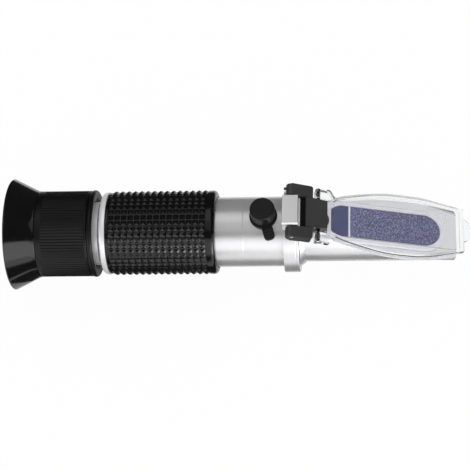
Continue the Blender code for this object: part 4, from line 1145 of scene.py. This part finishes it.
class REFRACTOMETER_OT_collar(bpy.types.Operator):
    """Model the collar with its hinge lug, the ring in front of it and the two set screws"""

    bl_idname = "refractometer.collar"
    bl_label = "Collar"

    def execute(self, context):
        sizes = settings("hinge")
        collar_low, collar_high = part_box("hinge_collar")
        rear = collar_low.x
        radius = collar_high.y
        top = collar_high.z
        start = turned_size("main_tube")[1] - sizes.collar_shift + sizes.collar_joint
        end = collar_high.x - sizes.collar_shift
        line = end - sizes.collar_line
        fine = sizes.collar_joint
        throat = turned_size("hinge_collar")[2]
        spigot = turned_size("main_tube")[2] - GAP
        bore = turned_size("prism_housing")[3] + GAP
        shoulder = turned_size("prism_housing")[0] - GAP
        profile = [
            (rear, throat),
            (rear, spigot),
            (start, spigot),
            (start, radius),
            (line - fine, radius),
            (line, radius - fine),
            (line + fine, radius),
            (end, radius),
            (end, bore),
            (shoulder, bore),
            (shoulder, throat),
        ]
        collar = soften(turned("collar_with_lug", profile), sizes.collar_rounding, 3)
        half = sizes.lug_width / 2
        near = -half - sizes.lug_near
        foot = radius - sizes.lug_sink
        lug_start = start - sizes.lug_overhang
        lug_end = lug_start + sizes.lug_length
        lug = block("hinge_lug", (lug_start, near, foot), (lug_end, half, top))
        edit(lug)
        pick("edges", lambda edge: middle(edge).z > top - MERGE and middle(edge).y < MERGE + near)
        bpy.ops.mesh.bevel(offset=sizes.lug_chamfer, segments=1)
        leave_edit()
        step = block(
            "lug_step",
            (lug_end - GAP, near, foot),
            (lug_end + sizes.step_length, half, top - sizes.step_drop),
        )
        collar = combine(collar, soften(lug, sizes.edge, 2), "UNION")
        collar = combine(collar, soften(step, sizes.edge / 2, 2), "UNION")
        hinge = face_frame()[0]
        across = Vector((0, radius, 0))
        hole = rod("hinge_hole", sizes.pin_radius + GAP / 2, hinge - across, hinge + across)
        collar = combine(collar, hole)
        self.add_set_screws(collar, sizes)
        put(collar, "hinge_collar")
        bore, radius = turned_size("collar_lock_ring")[2:]
        start = end + sizes.collar_joint
        end = turned_size("collar_lock_ring")[1] - sizes.collar_shift
        land = start + sizes.collar_rounding
        ring = [(start, bore), (start, radius), (land, radius), (end, bore + sizes.edge), (end, bore)]
        put(soften(turned("collar_front_ring", ring), sizes.edge, 3), "collar_lock_ring")
        return {"FINISHED"}

    def add_set_screws(self, collar, sizes):
        """Cuts the set screws' holes and makes the screws with their sockets."""
        for side in ("near", "far"):
            node = "collar_grub_screw_" + side
            low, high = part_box(node)
            centre = (low + high) / 2
            outward = Vector((0, centre.y, centre.z)).normalized()
            reach = turned_size(node)[3]
            place = Vector((centre.x, 0, 0))
            inner = place + outward * (reach - sizes.grub_length)
            outer = place + outward * reach
            seat = inner - outward * GAP * 4
            hole = rod("grub_hole", sizes.grub_radius + GAP / 3, seat, outer * 1.2 - place * 0.2)
            combine(collar, hole)
            screw = rod("set_screw_" + side, sizes.grub_radius, inner, outer)
            depth = outward * sizes.grub_radius
            socket = rod("hex_socket", sizes.grub_radius / 2, outer - depth, outer + outward * GAP, 6)
            put(soften(combine(screw, socket), sizes.edge / 3), node)


class REFRACTOMETER_OT_prism(bpy.types.Operator):
    """Model the slanted housing, the blue prism in its face and the pale compound round it"""

    bl_idname = "refractometer.prism"
    bl_label = "Prism housing and prism"

    def execute(self, context):
        sizes = settings("prism")
        start, end, _, radius = turned_size("prism_housing")
        light_bore = radius - sizes.bore_wall
        low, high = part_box("prism")
        profile = [
            (low.x + GAP, AXIS),
            (low.x + GAP, light_bore),
            (start, light_bore),
            (start, radius),
            (end - sizes.nose_bevel, radius),
            (end, radius - sizes.nose_bevel),
            (end, AXIS),
        ]
        housing = turned("slanted_housing", profile)
        slope = face_frame()[2]
        corner = Vector((low.x, 0, high.z))
        reach = end - start
        slab = block("face_cut", (-reach, -radius * 2, -sizes.proud), (reach * 2, radius * 2, radius * 4))
        housing = combine(housing, turn_and_move(slab, corner, (0, slope, 0)))
        pocket = self.stadium("prism_pocket", sizes, GAP / 2, -sizes.pocket, radius)
        housing = combine(housing, pocket)
        soften(housing, sizes.edge, 2)
        put(housing, "prism_housing")
        prism = self.stadium("blue_prism", sizes, 0, GAP - sizes.pocket, 0)
        put(soften(prism, sizes.edge, 2), "prism")
        seal = self.stadium("pale_seal", sizes, sizes.seal_width, -sizes.proud + GAP / 3, -sizes.seal_drop)
        seal = combine(seal, self.stadium("seal_window", sizes, GAP / 4, -radius, radius))
        put(soften(seal, sizes.seal_rounding, 3), "prism_seal")
        return {"FINISHED"}

    def stadium(self, name, sizes, margin, low, high):
        """The prism's outline, grown by a margin, as a slab between two heights over its face."""
        corner_low, corner_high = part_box("prism")
        half = (corner_high.y - corner_low.y - sizes.far_inset) / 2
        slope = face_frame()[2]
        rear = half * sizes.rear_share
        front = corner_high.x - corner_low.x - half
        centre = (rear, -sizes.far_inset / 2, 0)
        deselect_all()
        bpy.ops.mesh.primitive_circle_add(vertices=GLASS_ROUND, radius=half + margin, location=centre)
        made = start_piece(name)
        edit(made)
        pick("verts", lambda vert: vert.co.x > rear + MERGE)
        shift(front - rear, 0, 0)
        pick_all()
        bpy.ops.mesh.edge_face_add()
        bpy.ops.mesh.bisect(plane_co=(-margin, 0, 0), plane_no=(-1, 0, 0), clear_outer=True, use_fill=False)
        pick_all()
        resize((1 / math.cos(slope), 1, 1))
        shift(0, 0, low)
        extrude(0, 0, high - low)
        turn_outward()
        leave_edit()
        corner = Vector((corner_low.x, 0, corner_high.z))
        return turn_and_move(made, corner, (0, slope, 0))


class REFRACTOMETER_OT_bracket(bpy.types.Operator):
    """Model the forked hinge bracket and the two pins"""

    bl_idname = "refractometer.bracket"
    bl_label = "Hinge bracket"

    def execute(self, context):
        sizes = settings("hinge")
        hinge, pin, slope = face_frame()
        reach = (pin - hinge).length
        half = sizes.bracket_thickness / 2
        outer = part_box("hinge_bracket")[1].y
        near_slot = -sizes.lug_width / 2 - sizes.lug_near - GAP
        far_slot = sizes.lug_width / 2 + GAP
        tongue = sizes.tongue_width / 2
        crossbar = reach - sizes.crossbar_setback
        throat = crossbar - sizes.crossbar
        nose = reach + sizes.tongue_nose
        rear = -sizes.heel_reach
        columns = [rear, throat, crossbar, nose]
        near_tongue = tongue + sizes.tongue_near
        rows = [-outer, near_slot, -near_tongue, tongue, far_slot, outer]
        bracket = lattice("fork_bracket", columns, rows)
        edit(bracket)
        pick(
            "faces",
            lambda face: (middle(face).x < throat and near_slot < middle(face).y < far_slot)
            or (middle(face).x > crossbar and abs(middle(face).y) > tongue),
        )
        bpy.ops.mesh.delete(type="FACE")
        taper = sizes.tongue_taper
        throat_taper = taper * (throat - rear) / (crossbar - rear)

        def on(place, line):
            return abs(place - line) < MERGE

        def by_tongue(y):
            return min(abs(y - tongue), abs(y + near_tongue)) < taper / 2

        for test, sideways in (
            (lambda x, y: x > nose - MERGE and y > 0, -taper),
            (lambda x, y: on(x, crossbar) and y > outer - MERGE, -taper),
            (lambda x, y: on(x, throat) and y > outer - MERGE, -throat_taper),
            (lambda x, y: on(x, crossbar) and on(y, tongue), taper / 3),
        ):
            pick("verts", lambda vert: test(vert.co.x, vert.co.y))
            shift(0, sideways, 0)
        pick_all()
        shift(0, 0, -half)
        extrude(0, 0, 2 * half)
        turn_outward()
        for corner, rounding in (
            (lambda x, y: on(x, crossbar) and y < near_slot, sizes.near_corner),
            (lambda x, y: on(x, crossbar) and y > far_slot, sizes.far_corner),
            (lambda x, y: on(x, crossbar) and by_tongue(y), sizes.fillet),
            (lambda x, y: x > nose - MERGE, sizes.tongue_corner),
            (lambda x, y: on(x, throat) and near_slot - MERGE < y < far_slot + MERGE, sizes.fillet),
        ):
            pick("edges", lambda edge: reach_of(edge, 2) > half and corner(*middle(edge).xy))
            bpy.ops.mesh.bevel(offset=rounding, segments=6)
        leave_edit()
        for low, high in ((-outer, near_slot), (far_slot, outer)):
            heel = rod("heel", half - MERGE, (rear, low, 0), (rear, high, 0), CLOSE_ROUND)
            bracket = combine(bracket, soften(heel, sizes.heel_rounding, 4, math.radians(60)), "UNION")
        lip_place = Vector((nose + sizes.lip_reach - sizes.lip_radius, -sizes.lip_shift, -half))
        lip_low = lip_place - Vector((0, 0, sizes.lip_height))
        lip = rod("tongue_lip", sizes.lip_radius, lip_low, lip_place, CLOSE_ROUND)
        turn_and_move(lip, hinge, (0, slope, 0))
        dress(soften(lip, sizes.bracket_rounding / 2, 2), "hinge_bracket")
        nib_end = outer - sizes.nib * 1.6
        nib_start = nib_end - sizes.nib * 1.1
        nib_low = (rear - half - sizes.nib, nib_start, -sizes.nib / 2)
        nib = block("nib", nib_low, (rear, nib_end, sizes.nib / 2))
        bracket = combine(bracket, soften(nib, sizes.nib / 4, 2), "UNION")
        turn_and_move(bracket, hinge, (0, slope, 0))
        # A dark shim in the throat behind the bar, in the bracket node's darker finish: a painted shadow, not a
        # real part.
        shade_shim = block(
            "throat_shim",
            (throat - sizes.shade_shim_length, near_slot + MERGE, -half),
            (throat - MERGE, far_slot - MERGE, half - sizes.shade_shim_drop),
        )
        turn_and_move(shade_shim, hinge, (0, slope, 0))
        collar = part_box("hinge_collar")[1]
        behind = (turned_size("main_tube")[1] - collar.y, 0, 0)
        for piece in (bracket, shade_shim):
            combine(piece, rod("saddle", collar.y + GAP, behind, (collar.x + GAP, 0, 0), ROUND))
        dress(soften(shade_shim, sizes.bracket_rounding, 2), "hinge_bracket")
        across = Vector((0, outer * 2, 0))
        for place, hole in ((hinge, sizes.pin_radius), (pin, sizes.cover_pin_radius)):
            combine(bracket, rod("pin_bore", hole + GAP / 3, place - across, place + across))
        put(soften(bracket, sizes.bracket_rounding, 3), "hinge_bracket", finish="bracket_plastic")
        for node, place, radius, finish in (
            ("hinge_pin", hinge, sizes.pin_radius, None),
            ("cover_pin", pin, sizes.cover_pin_radius, "anodised_black"),
        ):
            across = Vector((0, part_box(node)[1].y, 0))
            bar = rod("turned_" + node, radius, place - across, place + across)
            put(soften(bar, radius / 4, 3), node, finish=finish)
        return {"FINISHED"}


class REFRACTOMETER_OT_cover(bpy.types.Operator):
    """Model the clear leaf-shaped cover with its ears, skirt, pad and thumb tab"""

    bl_idname = "refractometer.cover"
    bl_label = "Daylight cover"

    def execute(self, context):
        sizes = settings("cover")
        hinge_sizes = settings("hinge")
        pin, slope = face_frame()[1:]
        prism_low, prism_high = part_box("prism")
        over_face = (pin.x - prism_low.x) * math.sin(slope) + (pin.z - prism_high.z) * math.cos(slope)
        top = sizes.height - over_face
        start = hinge_sizes.tongue_nose + GAP
        end = (turned_size("prism_housing")[1] + sizes.overhang - pin.x) / math.cos(slope)
        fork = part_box("hinge_bracket")[1].y
        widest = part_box("daylight_cover")[1].y
        run = end - start
        root = sizes.flare_length
        first = LEAF_SHARES[0][0]
        narrowing = run * first - root
        alongs = [0.0, root / run]
        drops = [0.0, 0.0]
        for part, drop in NECK_DROPS:
            alongs.append((root + narrowing * part) / run)
            drops.append(drop)
        steps = 36
        alongs += [first + (1 - first) * i / steps for i in range(steps)]
        alongs += [1 - sizes.wall / run, 1.0]
        stations = [start + run * along for along in alongs]
        halves = {}
        for side, column in ((1, 1), (-1, 2)):
            neck = widest * LEAF_SHARES[0][column]
            halves[side] = [fork + (neck - fork) * drop for drop in drops]
            halves[side] += [widest * leaf_share(along, column) for along in alongs[len(drops):]]
        tongue = hinge_sizes.tongue_width / 2 + GAP
        pad = sizes.pad_width / 2
        rows = [-1.0, -0.8, -0.6, -0.4, 0.4, 0.6, 0.8, 1.0]
        plate = lattice("clear_cover", stations, [row * widest for row in rows])
        edit(plate)
        for side in halves:
            for x, half in zip(stations, halves[side]):
                wall = half - sizes.wall
                inner = min(pad, wall - sizes.wall / 2)
                places = {1.0: half, 0.8: wall, 0.6: inner, 0.4: min(tongue, inner - GAP)}
                for row, place in places.items():
                    line = side * row * widest
                    pick("verts", lambda vert: abs(vert.co.x - x) < MERGE and abs(vert.co.y - line) < MERGE)
                    shift(0, side * place - line, 0)
        pick_all()
        shift(0, 0, top)
        extrude(0, 0, -sizes.plate)
        turn_outward()
        bottom = top - sizes.plate
        pad_end = end - sizes.pad_end

        def underside(face):
            return middle(face).z < bottom + MERGE and abs(face.normal.z) > 0.9

        def in_skirt(face):
            if not underside(face):
                return False
            rear = min(vert.co.x for vert in face.verts) - MERGE
            front = max(vert.co.x for vert in face.verts) + MERGE
            side = 1 if middle(face).y > 0 else -1
            rim = max(half for x, half in zip(stations, halves[side]) if rear < x < front)
            return rear > end - sizes.wall - GAP or max(abs(vert.co.y) for vert in face.verts) > rim - MERGE

        def in_pad(face):
            place = middle(face)
            return underside(face) and stations[4] < place.x < pad_end and abs(place.y) < pad

        pick("faces", in_skirt)
        extrude(0, 0, -sizes.skirt_depth)
        foot = bottom - sizes.skirt_depth
        late = sizes.fade_start
        for x, along in zip(stations, alongs):
            rise = sizes.skirt_fade * max(1 - along / first, (along - late) / (1 - late), 0.0)
            pick("verts", lambda vert: abs(vert.co.x - x) < MERGE and abs(vert.co.z - foot) < MERGE)
            if rise:
                shift(0, 0, sizes.skirt_depth * rise)
        pick("faces", in_pad)
        extrude(0, 0, -sizes.pad_depth)
        leave_edit()
        for side in (-1, 1):
            reaches = (side * sizes.ear_inner, side * sizes.ear_outer)
            near, far = sorted(reach - sizes.ear_shift for reach in reaches)
            ear_low = (-sizes.ear_rear, near, -sizes.ear_bottom)
            ear = block("ear", ear_low, (start + sizes.flare_length, far, sizes.ear_top))
            edit(ear)
            rear = MERGE - sizes.ear_rear
            pick("edges", lambda edge: middle(edge).x < rear and reach_of(edge, 1) > MERGE)
            bpy.ops.mesh.bevel(offset=sizes.ear_rounding, segments=5)
            pick("edges", lambda edge: middle(edge).x > start and middle(edge).z > sizes.ear_top - MERGE)
            shift(0, 0, top - sizes.ear_top - GAP / 3)
            leave_edit()
            combine(plate, ear, "UNION")
        self.add_tab(plate, sizes, end, top, (halves[1][-1] - halves[-1][-1]) / 2)
        across = Vector((0, fork * 2, 0))
        combine(plate, rod("ear_bore", hinge_sizes.cover_pin_radius + GAP / 10, -across, across))
        soften(plate, sizes.rounding, 3, math.radians(28))
        turn_and_move(plate, pin, (0, slope, 0))
        put(plate, "daylight_cover")
        plate.visible_shadow = False
        return {"FINISHED"}

    def add_tab(self, plate, sizes, end, top, across):
        """The round lip at the cover's end, for the thumb."""
        low = top - sizes.plate / 2 - sizes.tab_thickness / 2
        radius = sizes.tab_width / 2
        tab = rod("cover_tab", radius, (0, 0, low), (0, 0, low + sizes.tab_thickness), CLOSE_ROUND)
        edit(tab)
        pick_all()
        resize((sizes.tab_length / radius, 1, 1))
        shift(end, across, 0)
        leave_edit()
        combine(plate, tab, "UNION")


class REFRACTOMETER_OT_stage(bpy.types.Operator):
    """Set up the floor, the soft studio light and the camera"""

    bl_idname = "refractometer.stage"
    bl_label = "Stage"

    def execute(self, context):
        studio = settings("studio")
        self.lay_floor(studio)
        self.light_room(studio)
        self.stand_flags(studio)
        for name, place, size in SOFTBOXES:
            self.hang_lamp(name + "_softbox", place, size, getattr(studio, name + "_level"))
        self.place_camera(studio)
        bpy.context.scene.view_settings.view_transform = "Standard"
        return {"FINISHED"}

    def lay_floor(self, studio):
        """A white floor with a faint shadow, which metal mirrors a little deeper."""
        deselect_all()
        low = cad_bounds[0].z - studio.floor_gap
        bpy.ops.mesh.primitive_plane_add(size=studio.floor_size, location=(0, 0, low))
        floor = bpy.context.active_object
        floor.name = "studio_floor"
        paint, tree = new_paint("white_floor")
        shader = tree.nodes["Principled BSDF"]
        shader.inputs["Base Color"].default_value = opaque(WHITE[:3], studio.floor_white)
        shader.inputs["Roughness"].default_value = 0.9
        path = new_node(tree, "ShaderNodeLightPath").outputs
        direct = worked_out(tree, "MAXIMUM", path["Is Camera Ray"], path["Is Transmission Ray"])
        clear = worked_out(tree, "MULTIPLY", direct, studio.floor_share)
        mirrored = worked_out(tree, "MULTIPLY", path["Is Glossy Ray"], studio.mirrored_share)
        white = new_node(tree, "ShaderNodeEmission")
        shown = new_node(tree, "ShaderNodeMixShader")
        feed(tree, worked_out(tree, "MAXIMUM", clear, mirrored), shown.inputs["Fac"])
        feed(tree, shader.outputs["BSDF"], shown.inputs[1])
        feed(tree, white.outputs["Emission"], shown.inputs[2])
        show(tree, shown.outputs["Shader"])
        floor.data.materials.append(paint)

    def light_room(self, studio):
        """Even light all round, which the eye, metal and glass see as a white room."""
        world = bpy.data.worlds.new("studio_room")
        bpy.context.scene.world = world
        world.use_nodes = True
        tree = world.node_tree
        room = tree.nodes["Background"]
        room.inputs["Color"].default_value = WHITE
        path = new_node(tree, "ShaderNodeLightPath").outputs
        seen = path["Is Camera Ray"]
        for kind in ("Is Glossy Ray", "Is Transmission Ray"):
            seen = worked_out(tree, "MAXIMUM", seen, path[kind])
        feed(tree, blend(tree, seen, studio.world_level, 1.0, "FLOAT"), room.inputs["Strength"])

    def stand_flags(self, studio):
        """Dark flags and cards round the instrument, and a bright one, for mirrored rays alone."""
        low = cad_bounds[0].z + studio.card_lift
        far = studio.flag_reach
        flags = block("studio_flags", (-far, -far, low), (far, far, far))
        edit(flags)
        pick("faces", lambda face: face.normal.y < -0.5)
        bpy.ops.mesh.delete(type="FACE")
        pick("edges", lambda edge: middle(edge).y < -far / 2 and middle(edge).z < 0)
        shift(0, far + studio.flag_setback, 0)
        leave_edit()
        cards = []
        # The near card is a painted shadow on the floor, seen only in reflections.
        for name, (x, y), (run, depth) in DARK_CARDS:
            cards.append(block(name, (x, y, low), (x + run, y + depth, low + studio.card_thickness)))
        self.show_mirrored(joined(flags, *cards), studio.flag_level)
        corner, opposite = GLINT_CORNERS
        self.show_mirrored(block("glint_card", (*corner, low), opposite), studio.glint_level)

    def show_mirrored(self, card, radiance):
        """Gives a card an even glow, which only mirrored rays meet."""
        paint, tree = new_paint(card.name)
        glow = new_node(tree, "ShaderNodeEmission", Color=WHITE, Strength=radiance)
        show(tree, glow.outputs["Emission"])
        card.data.materials.append(paint)
        card.visible_camera = False
        card.visible_diffuse = False
        card.visible_transmission = False
        card.visible_shadow = False

    def hang_lamp(self, name, place, size, radiance):
        """A softbox that faces the middle of the instrument, as bright as its radiance says."""
        deselect_all()
        facing = (-Vector(place)).to_track_quat("-Z", "Y").to_euler()
        bpy.ops.object.light_add(type="AREA", location=place, rotation=facing)
        lamp = bpy.context.active_object
        lamp.name = name
        lamp.data.shape = "RECTANGLE"
        lamp.data.size, lamp.data.size_y = size
        lamp.data.energy = radiance * math.pi * size[0] * size[1]
        lamp.visible_camera = False

    def place_camera(self, studio):
        """A long lens that looks down on the prism face from the near side."""
        place = Vector(CAMERA_PLACE)
        ahead = Vector(CAMERA_AHEAD).normalized()
        right = ahead.cross(Vector(CAMERA_UP)).normalized()
        up = right.cross(ahead)
        bpy.ops.object.camera_add(location=place)
        camera = bpy.context.active_object
        camera.name = "studio_camera"
        turn = Matrix((right, up, -ahead)).transposed().to_4x4()
        camera.matrix_world = Matrix.Translation(place) @ turn
        camera.data.lens = studio.lens
        camera.data.sensor_width = 36.0
        camera.data.clip_start = 0.01
        camera.data.clip_end = 50.0
        bpy.context.scene.camera = camera


class REFRACTOMETER_PT_panel(bpy.types.Panel):
    """The pieces of the refractometer, in the order they are made"""

    bl_idname = "REFRACTOMETER_PT_panel"
    bl_label = "Refractometer"
    bl_space_type = "VIEW_3D"
    bl_region_type = "UI"
    bl_category = "Refractometer"

    def draw(self, context):
        for operator in operators:
            self.layout.operator(operator.bl_idname)


groups = {
    "eyepiece": RefractometerEyepiece,
    "barrel": RefractometerBarrel,
    "grip": RefractometerGrip,
    "cap": RefractometerCap,
    "hinge": RefractometerHinge,
    "prism": RefractometerPrism,
    "cover": RefractometerCover,
    "colours": RefractometerColours,
    "studio": RefractometerStudio,
}
operators = (
    REFRACTOMETER_OT_stage,
    REFRACTOMETER_OT_finishes,
    REFRACTOMETER_OT_eyecup,
    REFRACTOMETER_OT_focus_ring,
    REFRACTOMETER_OT_lenses,
    REFRACTOMETER_OT_barrel,
    REFRACTOMETER_OT_grip,
    REFRACTOMETER_OT_screw_and_cap,
    REFRACTOMETER_OT_collar,
    REFRACTOMETER_OT_prism,
    REFRACTOMETER_OT_bracket,
    REFRACTOMETER_OT_cover,
)


def register():
    for group in groups.values():
        bpy.utils.register_class(group)
    for name, group in groups.items():
        setattr(bpy.types.Scene, "refractometer_" + name, bpy.props.PointerProperty(type=group))
    for operator in operators:
        bpy.utils.register_class(operator)
    bpy.utils.register_class(REFRACTOMETER_PT_panel)


def unregister():
    bpy.utils.unregister_class(REFRACTOMETER_PT_panel)
    for operator in reversed(operators):
        bpy.utils.unregister_class(operator)
    for name in groups:
        delattr(bpy.types.Scene, "refractometer_" + name)
    for group in groups.values():
        bpy.utils.unregister_class(group)


def main():
    register()
    for operator in operators:
        category, name = operator.bl_idname.split(".")
        getattr(getattr(bpy.ops, category), name)()


if __name__ == "__main__":
    main()
